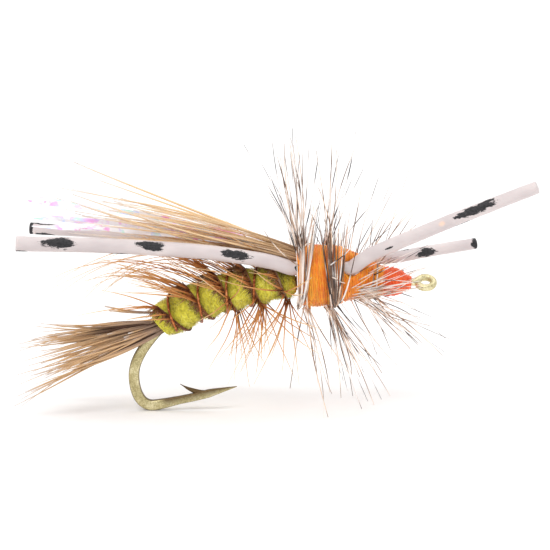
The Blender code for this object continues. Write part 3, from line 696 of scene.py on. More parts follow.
def make_brown_feather():
    bundle = Bundle(4)
    rng = bundle.rng
    bundle.strands(QUILL_LINE[None], QUILL_R, 8, side=(0, 1, 0), tint=0.4, web=0.75)

    def on_quill(count):
        share = rng.uniform(0, 1, count)
        return [np.interp(share, np.linspace(0, 1, len(line)), line) for line in QUILL]

    # long barbs: laid back over the top and the sides, standing out below
    count = 400
    x, degrees = on_quill(count)
    degrees = np.mod(degrees, 360)
    out, forward, up = outward(x, degrees)
    root = abdomen_surface(x, degrees, TOUCH + QUILL_R)
    height = np.sin(np.radians(degrees))
    flank = np.clip(1 - np.abs(height) / 0.6, 0, 1)
    below = height < -0.2
    keep = rng.uniform(size=count) > 0.4 * flank + 0.45 * (height < 0)
    back = 0.25 + 1.1 * np.clip(height + 0.25, 0, None) + rng.normal(0, 0.2, count)
    rise = 0.7 * flank + np.where(height > 0, 0.35, 0) + rng.normal(0, 0.2, count)
    length = rng.uniform(3.4, 7.0, count)
    keep &= (x > -6.8) | (rng.uniform(size=count) < 0.6)
    keep &= (height > -0.3) | (x > -3.6)
    back = np.where(below, rng.normal(0.12, 0.55, count), back)
    length = np.where(height > 0.2, length * rng.uniform(0.8, 1.35, count), length)
    length = np.where(below, rng.uniform(4.2, 8.2, count), length)
    direction = unit(out * (1 - 0.35 * flank)[:, None] - forward * (back + 0.5 * flank)[:, None]
                     + up * rise[:, None])
    tip = root + direction * length[:, None]
    tip[:, 1] += rng.normal(0, 0.25, count)
    paths = waver(bow(root, direction + out * 0.4, tip, 9), 0.08, rng, 0.8)
    thick = np.outer(rng.uniform(0.048, 0.068, count),
                     [1.35, 1.1, 1, 0.95, 0.85, 0.75, 0.6, 0.42, 0.2])
    bundle.clear_strands(paths, thick, 4, keep=keep, tint=(0, 1), web=0.0)

    # a few long barbs that trail back between the legs and the tail
    count = 16
    x, degrees = rng.uniform(-8.0, -2.0, count), rng.uniform(50, 130, count)
    root = abdomen_surface(x, degrees, TOUCH + QUILL_R)
    tip = np.stack([rng.uniform(-19.5, -14.0, count), rng.normal(0, 0.9, count),
                    rng.uniform(9.6, 12.4, count)], -1)
    paths = waver(bow(root, (-1, 0, 0.55), tip, 14, 0.6), 0.15, rng, 0.8)
    thick = np.outer(rng.uniform(0.038, 0.05, count), taper(14, (0, 1), (0.6, 0.8), (1, 0.4)))
    bundle.clear_strands(paths, thick, 4, tint=(0.4, 1), web=0.0)

    # web: short dark barbs that lie close to the body on both sides of the quill
    count = 2000
    x, degrees = on_quill(count)
    out, forward, _ = outward(x, degrees)
    root = abdomen_surface(x, degrees, TOUCH + QUILL_R * 0.6)
    height = np.sin(np.radians(degrees))[:, None]
    spread = rng.normal(0, 0.55, count)[:, None]
    level = np.cross(forward, out) * np.sin(spread) - forward * np.cos(spread)
    length = rng.uniform(0.3, 1.0, count)[:, None] * (1 + 0.75 * height)
    rise = rng.uniform(0.0, 0.22, (count, 1)) * np.clip(height + 0.5, 0.15, 1)
    paths = bow(root, level + out * 0.5, root + level * length + out * rise, 4)
    thick = np.outer(rng.uniform(0.03, 0.055, count), [1, 1, 0.8, 0.35])
    bundle.clear_strands(paths, thick, 3, tint=(0, 0.7), web=(0.3, 1))
    bundle.piece("brown_feather", "brown", "brown_feather", "body_hackle")


# ---- tail, wing and flash

def tufts(first, last, count, gap, seed, clumps, each, spread):
    """For each tuft: its number and Bundle, and for each hair its angle, depth and clump.

    Hairs lie in clumps. The depth runs from 0 at the shank to 1 at the outside."""
    for tuft in range(count):
        bundle = Bundle(seed + tuft)
        low = first + (last - first) * tuft / count + gap
        high = first + (last - first) * (tuft + 1) / count - gap
        middle = bundle.rng.uniform(0.04, 0.96, (clumps, 2))
        number = np.repeat(np.arange(clumps), each)
        places = middle[number] + bundle.rng.normal(0, spread, (clumps * each, 2))
        u, v = np.clip(places, 0, 1).T
        yield tuft, bundle, low + (high - low) * u, v, number


def cut_to(paths, share):
    """The same curves, cut off at a share of their length."""
    n, k, _ = paths.shape
    place = np.linspace(0, 1, k)[None] * share[:, None] * (k - 1)
    low = np.minimum(place.astype(int), k - 2)
    part = (place - low)[:, :, None]
    rows = np.arange(n)[:, None]
    return paths[rows, low] * (1 - part) + paths[rows, low + 1] * part


def make_tail():
    clumps = 10
    for tuft, bundle, theta, v, number in tufts(-25.0, 205.0, 4, 2, 40, clumps, 4, 0.03):
        rng = bundle.rng
        count = len(v)
        sideways = -np.cos(np.radians(theta))
        base = 0.66 + (TAIL_BASE_R - 0.66) * v
        start, leave = around(-8.75, theta, base), around(-9.7, theta, base + 0.04)
        drift = rng.normal(0, 1, (clumps, 3))[number]
        high_up = 1 - np.abs(theta - 90) / 115
        tip = np.stack([np.full(count, -22.0), 3.3 * sideways, 0.7 + 5.6 * high_up + 1.0 * v], -1)
        tip = tip + drift * (0.4, 0.3, 0.5) + rng.normal(0, 1, (count, 3)) * (0.4, 0.3, 0.4)
        direction = np.stack([-np.ones(count), 0.35 * sideways, -0.5 + 0.35 * high_up], -1)
        direction = direction + rng.normal(0, 0.07, (count, 3))
        paths = np.concatenate([start[:, None], bow(leave, direction, tip, 15)], axis=1)
        paths = waver(paths, 0.18, rng, 0.7)
        stub = rng.uniform(size=count) < 0.06
        cut = 0.54 + 0.44 * rng.uniform(0, 1, clumps)[number] + rng.normal(0, 0.08, count)
        cut = np.where(stub, rng.uniform(0.25, 0.45, count), np.clip(cut, 0.48, 1.0))
        paths = cut_to(paths, cut)
        fine = taper(16, (0, 0.8), (0.2, 1), (0.5, 0.88), (0.8, 0.5), (1, 0.24))
        blunt = taper(16, (0, 0.8), (0.3, 1), (1, 0.85))
        thick = rng.uniform(0.08, 0.125, count)[:, None] * np.where(stub[:, None], blunt, fine)
        tint = rng.uniform(0, 1, clumps)[number] + rng.normal(0, 0.12, count)
        tint = np.where(stub, 0.95, np.clip(tint, 0, 1))
        bundle.strands(paths, thick, 5, tint=tint[:, None])
        if tuft in (1, 2):                     # blunt butts that stick straight back over the tail
            reach = (-14.6, 0.3, 9.25) if tuft == 1 else (-14.2, -0.3, 9.0)
            butt = bow(around(-8.75, 84, 0.95), (-1, 0, -0.15), reach, 9)
            bundle.strands(butt, np.linspace(0.11, 0.09, 9), 6, tint=0.98)
        bundle.piece(f"tail_hair_{tuft + 1}", "tail", "elk_hair", f"tail_tuft_{tuft + 1}")


def wing_bundle_r(degrees):
    turn = np.radians(degrees)
    return WING_LIFT * np.sin(turn) + np.sqrt(WING_BASE_R ** 2 - (WING_LIFT * np.cos(turn)) ** 2)


def make_wing():
    clumps = 9
    for tuft, bundle, theta, v, number in tufts(50.0, 130.0, 5, 0.8, 60, clumps, 3, 0.06):
        rng = bundle.rng
        v = v ** 1.15
        count = len(v)
        across = (theta - 90) / 40
        away = np.abs(across)
        base = 0.70 + (wing_bundle_r(theta) - 0.74) * v
        leave = np.stack([np.full(count, 2.3), 0.72 * across, 13.2 + 0.15 * away + 1.05 * v], -1)
        drift = rng.normal(0, 1, (clumps, 2))[number]
        height = 14.9 + 1.2 * away + 4.4 * v * (1 - 0.25 * away)
        stray = rng.uniform(size=count) < 0.1
        height = height + np.where(stray, rng.uniform(0.8, 4.6, count), 0)
        tip = np.stack([-18.6 + 1.6 * v + 0.6 * drift[:, 0] + rng.normal(0, 0.5, count),
                        WING_SPREAD * across + rng.normal(0, 0.2, count),
                        height + 0.35 * drift[:, 1] + rng.normal(0, 0.3, count)], -1)
        lift = 0.15 + 0.45 * v + rng.normal(0, 0.14, count) - 0.7 * stray
        middle = (leave + tip) / 2
        middle[:, 2] += lift
        tied = [around(x, theta, base) for x in (4.9, 3.7)]
        knots = np.stack([*tied, leave, middle, tip], 1)
        paths = np.stack([smooth(each, 5) for each in knots])
        paths = waver(paths, np.where(stray, 0.4, 0.14), rng, 0.8)
        uncut = rng.uniform(0.8, 1, count)
        cut = rng.uniform(0.52, 1.0, clumps)[number] + rng.normal(0, 0.08, count)
        paths = cut_to(paths, np.where(stray, uncut, np.clip(cut, 0.5, 1)))
        fine = taper(paths.shape[1], (0, 0.8), (0.4, 1), (0.7, 0.8), (1, 0.38))
        thick = np.outer(rng.uniform(0.055, 0.09, count) * np.where(stray, 1.7, 1), fine)
        # the hairs nearest the shank, along the wing's lower edge, are made darker: painted shade
        tint = (rng.uniform(0, 1, clumps)[number] + rng.normal(0.05, 0.2, count)
                - 0.6 * (v < 0.25))
        bundle.clear_strands(paths, thick, 5, 0.04, tint=np.clip(tint, 0, 1)[:, None])
        bundle.piece(f"wing_hair_{tuft + 1}", "wing", "elk_hair", f"wing_tuft_{tuft + 1}")


def make_flash():
    """Narrow crimped strips of pearl film that lie in the wing and run past its tips."""
    places = [(-0.6, 0.3), (-0.2, 0.2), (0.2, 0.35), (0.6, 0.25), (-0.2, 0.9), (0.2, 0.8)]
    for number, (across, height) in enumerate(places):
        bundle = Bundle(80 + number)
        rng = bundle.rng
        tip = (-20.6 + rng.uniform(-0.9, 0.9), WING_SPREAD * across, 15.9 + 3.5 * height)
        path = bow((1.2, 0.9 * across, 13.9 + 0.9 * height), (-1, 0.1 * across, 0.25), tip, 90)
        path = waver(path, 0.12, rng, 1.2)[0]
        t = np.linspace(0, 1, 90)
        path[:, 2] += 0.05 * np.abs(((t * 26) % 1) - 0.5)
        twist = (0.9 * np.sin(math.tau * (1.1 * t + rng.uniform())) + 0.5)[:, None]
        along = unit(np.gradient(path, axis=0))
        level = unit(np.cross(along, (0, 1.0, 0)))
        side = unit(np.cross(along, level))
        wide = level * np.cos(twist) + side * np.sin(twist)
        thin = unit(np.cross(along, wide))
        half = 0.24 * np.minimum(1, 8 * (1 - t) + 0.25)[:, None]
        corners = ((1, 1), (0, 1.6), (-1, 1), (-1, -1), (0, -1.6), (1, -1))
        bundle.grid(np.stack([path + wide * half * a + thin * 0.012 * b for a, b in corners], 1))
        bundle.piece(f"flash_strip_{number + 1}", "flash", "pearl_flash", f"flash_{number + 1}",
                     sharp=35)


# ---- grizzly collars

BARB_DARK = 0.42            # the share of a collar barb that its dark bars take
FLOOR_GAP = (0.25, 1.35)    # how high above the floor the lowest barbs end
REAR_R, FRONT_R = 2.76, 1.5             # where the barbs of each collar start


def barred(rng, reach, dark_share, pitch=5.2):
    """1 in the dark bars of a barb and 0 between them, at distances (n, k) from its root."""
    n = len(reach)
    phase = rng.uniform(0, 1, (n, 1))
    step = (reach / (pitch * rng.uniform(0.8, 1.25, (n, 1))) + phase) % 1
    return np.clip((dark_share - np.abs(step - 0.5) * 2) * 2.2 + 0.5, 0, 1)


def add_barbs(bundle, root, direction, length, thick, dark=BARB_DARK):
    """Barbs out from their roots, shortened where they would reach the floor."""
    rng = bundle.rng
    direction = unit(direction)
    low = rng.uniform(*FLOOR_GAP, len(root))
    to_floor = (root[:, 2] - low) / np.maximum(-direction[:, 2], 1e-3)
    length = np.where(root[:, 2] + direction[:, 2] * length < low, to_floor, length)
    sway = rng.normal(0, 0.10, root.shape)
    paths = bow(root, direction + sway, root + direction * length[:, None], 12, 0.5)
    paths = waver(paths, length * 0.008, rng, 0.6)
    paths[:, :, 2] = np.maximum(paths[:, :, 2], 0.03)
    bar = barred(rng, np.outer(length, np.linspace(0, 1, 12)), dark)
    fine = taper(12, (0, 1.3), (0.1, 1), (0.6, 0.8), (1, 0.4))
    bundle.clear_strands(paths, np.outer(thick, fine), 4, 0.08, tint=(0, 1), bar=bar)


def add_stems(bundle, span, fan, dark, number, radius, lift):
    """Broad barbs that start under the thorax and lie up across both of its sides, in a fan."""
    rng = bundle.rng
    for side in (-1, 1):
        x = rng.uniform(*span, number)
        low = rng.uniform(-78, -56, number)
        angles = [low, low + 28, low + 58, rng.uniform(28, 52, number)]
        drift = np.linspace(0, 1, 4) * rng.normal(*fan, number)[:, None]
        knots = [around(x + drift[:, k], angles[k],
                        radius + 0.12 * k + rng.uniform(0, 0.12, number), lift) for k in range(4)]
        length = rng.uniform(1.0, 5.5 - 2.6 * dark, number)[:, None]
        far = knots[-1] + unit(knots[-1] - knots[-2]) * length
        far[:, 1] *= 0.8
        paths = np.stack([smooth(each, 4) for each in np.stack(knots + [far], 1)])
        paths[:, :, 1] *= -side
        k = paths.shape[1]
        thick = np.outer(rng.uniform(0.055, 0.1, number),
                         taper(k, (0, 1), (0.3, 1.1), (0.7, 0.6), (1, 0.2)))
        bar = barred(rng, np.outer(np.ones(number), np.linspace(0, 7, k)), dark, 6.0)
        bundle.clear_strands(paths, thick, 4, 0.06, tint=(0, 1), bar=bar)


def collar_quill(bundle, places, radius, lift, turns, start):
    """The wound quill; places gives (share of its length, x) for its slope along the shank."""
    share = np.linspace(0, 1, int(turns * 60))
    x = np.interp(share, *zip(*places))
    line = around(x, start + 360 * turns * share, radius, lift)
    bundle.strands(line[None], 0.07, 8, side=(0, 1, 0), tint=0.3,
                   bar=0.4 + 0.4 * np.sin(share * 40))


def turned_away(rng, degrees, half_angle, share, by):
    """Moves a share of the barbs that would face straight out at the fly's right."""
    near = np.abs((degrees + 180) % 360 - 180) < half_angle
    return np.where(near & (rng.uniform(size=len(degrees)) < share), degrees + by, degrees)


def make_rear_collar():
    bundle = Bundle(101)
    rng = bundle.rng
    collar_quill(bundle, [(0, 2.9), (0.42, 3.1), (0.55, 4.95), (1, 5.5)], 2.84, THORAX_LIFT,
                 turns=2.6, start=40)

    # barbs that stand straight out all round, from two close groups of turns
    count = 100
    group = rng.uniform(size=count) < 0.5
    x = np.where(group, rng.normal(2.85, 0.2, count), rng.normal(5.1, 0.26, count))
    x = np.clip(x, 2.45, 5.75)
    degrees = turned_away(rng, rng.uniform(0, 360, count), 42, 0.88, 90 + 180 * (x > 4))
    out, forward, _ = outward(x, degrees)
    height = np.sin(np.radians(degrees))
    lean = np.where(group, rng.normal(-0.04, 0.2, count), rng.normal(0.26, 0.22, count))
    lean = lean + np.where(height < -0.2, 0.07, 0.0)
    length = rng.uniform(6.0, 10.6, count)
    length = np.where(height > 0.6, 0.3 * length + 7.5, length)
    add_barbs(bundle, around(x, degrees, REAR_R, THORAX_LIFT), out + forward * lean[:, None],
              length, rng.uniform(0.042, 0.064, count))
    for span, fan, dark, number, radius in (((2.12, 2.4), (1.1, 0.4), 0.22, 15, REAR_R),
                                            ((5.4, 5.6), (-0.35, 0.3), 0.95, 18, REAR_R),
                                            ((5.5, 5.7), (0.7, 0.5), 0.5, 7, 2.72)):
        add_stems(bundle, span, fan, dark, number, radius, THORAX_LIFT)
    bundle.piece("grizzly_collar_rear", "grizzly", "grizzly_feather", "collar_hackle_rear")


def make_front_collar():
    bundle = Bundle(102)
    rng = bundle.rng
    collar_quill(bundle, [(0, 6.6), (0.35, 6.9), (0.5, 8.9), (1, 9.3)], 1.56, 0.0,
                 turns=2.5, start=-90)
    count = 84
    x = rng.uniform(6.6, 9.4, count)
    degrees = turned_away(rng, rng.uniform(0, 360, count), 35, 0.5, 180)
    out, forward, _ = outward(x, degrees)
    under = np.clip(-np.sin(np.radians(degrees)), 0, 1)
    lean = rng.normal(0.5, 0.2, count) + under * rng.uniform(0.0, 2.0, count)
    length = rng.uniform(4.2, 9.6, count) * (1 - 0.08 * under)
    add_barbs(bundle, around(x, degrees, FRONT_R), out + forward * lean[:, None], length,
              rng.uniform(0.034, 0.052, count))

    add_stems(bundle, (7.0, 7.4), (0.35, 0.3), 0.1, 9, 1.55, 0.0)

    # pale barbs that start low on the thorax and reach forward past the head
    count = 26
    for side in (-1, 1):
        x = rng.uniform(5.6, 8.6, count)
        root = around(x, rng.uniform(-70, -15, count), 1.75)
        _, forward, up = station(x)
        direction = forward + up * rng.uniform(0.1, 0.6, count)[:, None]
        direction[:, 1] -= rng.uniform(0.0, 0.35, count)
        mirror = (1, -side, 1)
        add_barbs(bundle, root * mirror, direction * mirror, rng.uniform(3.0, 6.5, count),
                  rng.uniform(0.036, 0.056, count), dark=0.16)
    bundle.piece("grizzly_collar_front", "grizzly", "grizzly_feather", "collar_hackle_front")


# ---- wound thread and floss

FRONT_LEGS_X = (5.5, 11.5)  # the part of the shank that the front legs lie beside
LEAST_R = 0.4               # no skin is drawn in further than this
RINGS_PER_TURN = 7

def tucked(points, x, lift, gap=0.04):
    """Points round the shank, drawn in towards its line where a leg would be in their way."""
    hub = around(x, 90, 0, lift) + 0 * points
    arm = points - hub
    reach = np.linalg.norm(arm, axis=-1)
    ray = arm / reach[..., None]
    near = (LEG_POINTS[:, 0] > FRONT_LEGS_X[0]) & (LEG_POINTS[:, 0] < FRONT_LEGS_X[1])
    for centre, radius in zip(LEG_POINTS[near], LEG_RADII[near] + gap):
        ahead = ((centre - hub) * ray).sum(-1)
        inside = ahead ** 2 - ((centre - hub) ** 2).sum(-1) + radius ** 2
        enter = np.maximum(ahead - np.sqrt(np.maximum(inside, 0)), LEAST_R)
        reach = np.where((inside > 0) & (ahead > 0), np.minimum(reach, enter), reach)
    return hub + ray * reach[..., None]


def wound(bundle, profile, lift, pitch, ridge, bore, sides=72, rough=0.0, tint=0.5):
    """A skin of helical turns over a profile of (x, radius), closed at both ends.

    lift is (x, lift) pairs. The skin on the front cone also makes room for the legs."""
    xs, rs = np.array(profile).T
    steps = max(12, int((xs[-1] - xs[0]) / pitch * RINGS_PER_TURN))
    x = np.linspace(xs[0], xs[-1], steps)[:, None]
    radius = np.interp(x, xs, rs)
    above = np.interp(x, *zip(*lift))
    degrees = 360 * np.arange(sides) / sides
    turns = np.abs(np.cos(math.pi * (x / pitch + degrees / 360)))
    radius = radius - ridge * 0.6 + ridge * turns ** 0.6
    if rough:
        radius = radius + rough * ripple(around(x, degrees, radius, above), 0.35)
    rows = around(x, degrees, radius, above)
    if lift is CONE:
        rows = tucked(rows, x, above)
    hubs = [around(xs[end], 90, 0, above[end]) for end in (0, -1)]
    # tint falls in the gaps between the turns and rises on their ridges: painted shade in the gaps
    bundle.drum(rows, hubs, max(bore / rs[0], 0.25), 0.96, tint=tint + 0.25 * (turns - 0.6))


def floss_strands(bundle, profile, lift, count):
    """Loose fibres of the floss, laid round the thorax on top of its turns."""
    rng = bundle.rng
    xs, rs = zip(*profile)
    x = rng.uniform(xs[0], xs[-1], count)[:, None]
    start = rng.uniform(0, 360, count)[:, None]
    arc = rng.uniform(40, 130, count)[:, None]
    t = np.linspace(0, 1, 9)[None]
    places = np.clip(x + rng.normal(0, 0.12, count)[:, None] * (t - 0.5), xs[0], xs[-1])
    radius = (np.interp(places, xs, rs) + rng.uniform(-0.01, 0.05, count)[:, None]
              + 0.05 * np.sin(math.pi * t))
    above = np.interp(places, *zip(*lift))
    paths = around(places, start + arc * t, radius, above)
    if lift is CONE:
        paths = tucked(paths, places, above, 0.02)
    thick = np.outer(rng.uniform(0.6, 1.2, count) * 0.035,
                     taper(9, (0, 0.4), (0.1, 1), (0.9, 1), (1, 0.4)))
    bundle.strands(paths, thick, 3, tint=rng.uniform(0.1, 1, (count, 1)))


LEVEL, RAISED = [(0, 0.0), (1, 0.0)], [(0, THORAX_LIFT), (1, THORAX_LIFT)]
CONE = [(6.3, 0.52), (6.9, 0.5), (9.0, 0.2), (9.6, 0.05)]
THORAX = {
    "rear": (RAISED, 450, [(2.30, 1.15), (2.37, 1.6), (2.43, 2.0), (2.5, 2.32), (2.86, 2.34),
                           (2.9, 2.5), (3.2, 2.62), (3.9, 2.67), (4.5, 2.63), (4.85, 2.54)]),
    "middle": (RAISED, 330, [(4.9, 2.52), (5.35, 2.58), (5.82, 2.5), (5.86, 2.34), (6.22, 2.32),
                             (6.29, 1.95), (6.36, 1.55), (6.43, 1.2)]),
    "front": (CONE, 520, [(6.3, 2.2), (6.45, 2.28), (6.9, 2.16), (8.0, 1.78), (9.0, 1.42),
                          (9.5, 1.27), (9.9, 1.24)]),
}


def make_thorax():
    for number, (part, (lift, fibres, profile)) in enumerate(THORAX.items()):
        bundle = Bundle(120 + number)
        wound(bundle, profile, lift, 0.16, 0.05, 0.7, 84, rough=0.05, tint=0.55)
        floss_strands(bundle, profile, lift, fibres)
        if part == "rear":
            count = 26                        # loose ends of the floss gather under the rear edge
            rng = bundle.rng
            x, degrees = rng.uniform(2.92, 3.4, count), rng.uniform(-112, -68, count)
            root = around(x, degrees, 2.56, THORAX_LIFT)
            hang = np.stack([rng.normal(-0.15, 0.15, count), rng.normal(0, 0.1, count),
                             rng.uniform(-0.55, -0.15, count)], -1)
            bundle.strands(bow(root, hang, root + hang, 5), 0.03 * np.array([1, 1, 0.9, 0.7, 0.4]),
                           4, tint=rng.uniform(0.2, 1, (count, 1)))
        bundle.piece(f"floss_{part}", "floss", "orange_dubbing", f"thorax_{part}")


def band_profile(x_rear, x_front, radius, edge, crown):
    return [(x_rear, radius + edge), ((x_rear + x_front) / 2, radius + crown),
            (x_front, radius + edge)]


HEAD_PROFILE = [(9.6, 1.16), (9.8, 1.24), (10.3, 1.27), (10.9, 1.18), (11.4, 0.98), (11.87, 0.68)]
WINDINGS = {
    # CAD node: (name, look, slot, profile, lift, pitch, ridge, bore, sides, roughness)
    "tail_thread_band": ("tail_thread_turns", "tail_thread", "tan_thread",
                         band_profile(-9.32, -8.78, TAIL_BASE_R, 0.12, 0.15), LEVEL,
                         0.11, 0.05, TAIL_BASE_R, 72, 0),
    "leg_thread_rear": ("leg_thread_turns_rear", "floss", "orange_thread",
                        band_profile(2.48, 2.86, TIED_R, 0.04, 0.12), RAISED,
                        0.1, 0.05, TIED_R, 96, 0),
    "leg_thread_front": ("leg_thread_turns_front", "floss", "orange_thread",
                         band_profile(5.86, 6.26, TIED_R, 0.04, 0.12), RAISED,
                         0.1, 0.05, TIED_R, 96, 0),
    "thread_head": ("thread_head_turns", "head_thread", "orange_thread", HEAD_PROFILE, LEVEL,
                    0.12, 0.055, 0.4, 80, 0.025),
    "whip_finish": ("whip_finish_turns", "head_thread", "orange_thread",
                    [(11.88, 0.6), (12.05, 0.64), (12.28, 0.5)], LEVEL, 0.1, 0.045, 0.4, 48, 0),
}


def add_crossed_turns(bundle, count=34):
    """Single turns of thread that cross the even ones of the head."""
    rng = bundle.rng
    x = rng.uniform(9.75, 11.6, count)[:, None]
    arc = rng.uniform(120, 300, count)[:, None]
    t = np.linspace(0, 1, 30)[None]
    degrees = rng.uniform(0, 360, count)[:, None] + arc * t
    places = np.clip(x + rng.normal(0, 0.3, count)[:, None] * (t - 0.5), 9.65, 11.8)
    radius = np.interp(places, *zip(*HEAD_PROFILE)) + 0.02
    for line in around(places, degrees, radius):
        bundle.strands(line[None], 0.05, 6, side=(1, 0, 0), tint=rng.uniform(0.2, 0.9))


def make_windings():
    for node, (name, look, slot, *shape, sides, rough) in WINDINGS.items():
        bundle = Bundle(133)
        wound(bundle, *shape, sides, rough)
        if node == "thread_head":
            add_crossed_turns(bundle)
        bundle.piece(name, look, slot, node)


# ---- rubber legs

# Printed marks on each leg: (x, angle, half length, half width). Angle 0 faces the fly's
# right, 90 is the top.
LEG_MARKS = {
    "rear_right": [
        (-18.35, 22, 1.45, 0.52), (-10.55, 38, 1.25, 0.42), (-10.2, 5, 0.7, 0.25),
        (-3.15, 18, 1.2, 0.48), (2.3, 10, 0.25, 0.3), (-21.5, -72, 0.7, 0.22),
        (-13.2, -75, 1.0, 0.22), (-5.9, -80, 0.8, 0.22), (-15.0, 170, 1.2, 0.5),
        (-7.0, 150, 1.0, 0.5), (-19.6, 190, 0.9, 0.4), (-1.0, 200, 0.8, 0.4)],
    "rear_left": [
        (-20.1, 88, 1.2, 0.3), (-20.0, -62, 1.0, 0.3), (-17.0, 180, 1.3, 0.5),
        (-11.5, 150, 1.2, 0.5), (-5.5, 185, 1.1, 0.5), (-14.0, 240, 0.8, 0.3),
        (-8.4, 60, 0.9, 0.35), (-1.2, 160, 0.7, 0.4)],
    "front_right": [
        (17.75, 18, 1.55, 0.46), (18.9, 55, 0.55, 0.2), (16.5, 8, 0.5, 0.2),
        (10.3, -8, 0.5, 0.09), (16.45, -80, 0.8, 0.16), (14.0, 170, 1.0, 0.45),
        (20.6, 185, 0.8, 0.4), (10.6, 150, 0.7, 0.4), (12.3, -120, 0.6, 0.3)],
    "front_left": [
        (13.6, 5, 0.85, 0.46), (18.0, 0, 0.42, 0.5), (18.1, 90, 0.3, 0.4), (15.9, 170, 0.9, 0.45),
        (10.8, 190, 0.8, 0.4), (11.9, 100, 0.4, 0.25)],
}
LEG_STAINS = {"front_right": (14.9, 10, 0.5, 0.4)}
LEG_STEP = 0.115            # between the rings of a leg


def leg_mark(x, degrees, radius, mark):
    """Above 0 inside a mark, falling below 0 outside it."""
    middle, angle, half_length, half_width = mark
    arc = np.radians((degrees - angle + 180) % 360 - 180) * radius
    return 1 - (np.abs((x - middle) / half_length) ** 1.7
                + np.abs(arc / half_width) ** 1.7) ** (1 / 1.7)


def make_legs():
    sides = 50
    middle = (STRAND_REAR + STRAND_FRONT) / 2
    for number, name in enumerate(LEG_ROUTES):
        end, side = name.split("_")
        pivot, root_r, tip_r = leg_pivot(name), STRAND_R[side], LEG_TIP_R[name]
        inner = pivot + 0 * np.arange(8)[:, None]
        inner[:, 0] = np.linspace(middle, pivot[0], 9)[:-1]
        line = np.vstack([inner, leg_line(name, 48)])
        reach = np.concatenate([[0], np.cumsum(np.linalg.norm(np.diff(line, axis=0), axis=1))])
        spaced = np.linspace(0, reach[-1], int(reach[-1] / LEG_STEP))
        line = np.stack([np.interp(spaced, reach, line[:, axis]) for axis in range(3)], -1)
        for _ in range(2):
            line[1:-1] = (line[:-2] + 2 * line[1:-1] + line[2:]) / 4
        share = np.clip((spaced - spaced[-1] * 0.1) / (spaced[-1] * 0.9), 0, 1)
        band = STRAND_REAR if end == "rear" else STRAND_FRONT
        radius = ((root_r + (tip_r - root_r) * share)
                  * (1 - 0.10 * np.exp(-((line[:, 0] - band) / 0.5) ** 2)))
        along = unit(np.gradient(line, axis=0))
        right = unit(np.cross((0, 0, 1.0), along))
        top = unit(np.cross(right, along))
        right, top = np.where(right[:, 1:2] > 0, -right, right), np.where(top[:, 2:] < 0, -top, top)
        ring = tube(0 * line, right, top, 1, 1, sides)
        rows = line[:, None] + ring * radius[:, None, None]
        rows = rows + ring * (0.018 * ripple(rows, 1.3, 5.0 + number)
                              + 0.006 * ripple(rows, 0.35, number))[..., None]
        cap = np.stack([line[-1] + along[-1] * ahead + (rows[-1] - line[-1]) * part
                        for ahead, part in ((0.03, 0.975), (0.055, 0.92), (0.07, 0.8),
                                            (0.075, 0.5), (0.075, 0.2))])
        rows = np.vstack([rows, cap])
        degrees = 360 * np.arange(sides) / sides
        x = np.pad(line[:, :1], ((0, len(cap)), (0, 0)), "edge")
        marks = np.max([leg_mark(x, degrees, (root_r + tip_r) / 2, mark)
                        for mark in LEG_MARKS[name]], axis=0)
        marks = np.maximum(marks, -1.0)
        stain = 0.0
        if name in LEG_STAINS:
            stain = np.clip(leg_mark(x, degrees, tip_r, LEG_STAINS[name]), 0, 1)
        if name == "rear_left":                # a black rim round the far tip
            behind = spaced[-1] - np.pad(spaced, (0, len(cap)), "edge")
            marks = np.maximum(marks, (1 - np.abs(behind - 0.10) / 0.16)[:, None])
        rag = 0.22 * ripple(rows * (0.5, 1, 1), 0.35, 11.0 + number)
        bundle = Bundle(140 + number)
        bundle.grid(rows, mark=marks + rag * (marks > -0.9), stain=stain)
        leg = bundle.piece(f"rubber_leg_{name}", "rubber", "white_rubber", f"leg_{name}",
                           f"leg_strand_{side}", body=None, sharp=50)
        heading = unit(leg_line(name)[8] - pivot)
        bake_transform(leg)


# ---- stage, light and camera

def link(name, data):
    obj = bpy.data.objects.new(name, data)
    bpy.context.scene.collection.objects.link(obj)
    return obj


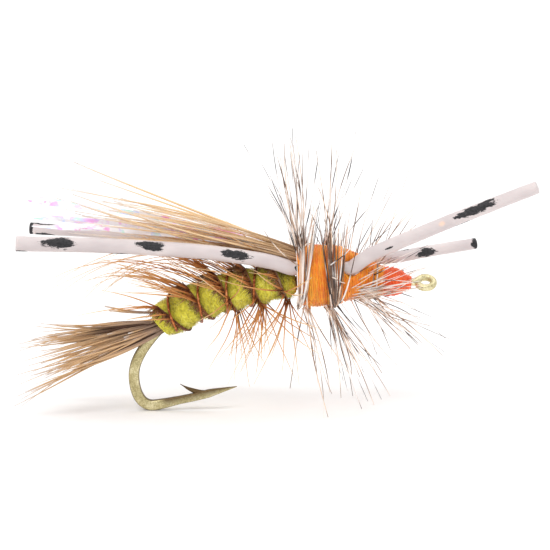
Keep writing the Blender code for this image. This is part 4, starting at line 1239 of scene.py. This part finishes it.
def make_stage():
    floor = bpy.data.meshes.new("floor")
    floor.from_pydata([(-3, -3, 0), (3, -3, 0), (3, 3, 0), (-3, 3, 0)], [], [(0, 1, 2, 3)])
    paint = Paint("white_paper", Roughness=0.9)
    grain = paint.ramp(paint.noise(2.0), (0.2, (250, 249, 249)), (0.8, (252, 252, 252)))
    paint.put(paint.shader, {"Base Color": grain})
    floor.materials.append(paint.material)
    link("floor", floor)

    world = bpy.data.worlds.new("studio")
    bpy.context.scene.world = world
    world.use_nodes = True
    back = world.node_tree.nodes["Background"]
    back.inputs["Color"].default_value = (1.0, 0.99, 0.99, 1.0)
    back.inputs["Strength"].default_value = 0.9
    for name, place, power, spread in (("key", (-0.5, -0.9, 1.5), 1.0, 30),
                                       ("top", (0.4, 0.5, 1.6), 0.6, 60)):
        light = bpy.data.lights.new(name, "SUN")
        light.energy, light.angle = power, math.radians(spread)
        lamp = link(name, light)
        lamp.location = place
        lamp.rotation_euler = (-Vector(place)).to_track_quat("-Z", "Y").to_euler()


PHOTO_SIZE, MM_PER_PIXEL = 550, 0.0875


def make_camera():
    target = Vector((0.35, 0.0, 12.08)) * MM
    elevation, distance = math.radians(10), 0.30
    width = PHOTO_SIZE * MM_PER_PIXEL * MM
    back = Vector((0, -math.cos(elevation), math.sin(elevation)))
    data = bpy.data.cameras.new("camera")
    data.lens = data.sensor_width * distance / width
    data.clip_start, data.clip_end = 0.01, 10
    camera = link("camera", data)
    camera.location = target + back * distance
    camera.rotation_euler = (-back).to_track_quat("-Z", "Y").to_euler()
    bpy.context.scene.camera = camera
    bpy.context.scene.view_settings.view_transform = "Standard"


def dress_cad_nodes():
    """The windings that stay as the CAD made them, under the others."""
    looks = {"thread_underbody": "tan_thread", "wing_thread_band": "orange_thread",
             "wing_butts": "wing_butts", "thorax_core": "thorax_core"}
    for node, look in looks.items():
        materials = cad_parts[node].data.materials
        materials.clear()
        materials.append(LOOKS[look])


make_camera()
make_stage()
make_hook()
make_abdomen()
make_rib()
make_brown_feather()
make_tail()
make_wing()
make_flash()
make_rear_collar()
make_front_collar()
make_thorax()
make_windings()
make_legs()
dress_cad_nodes()
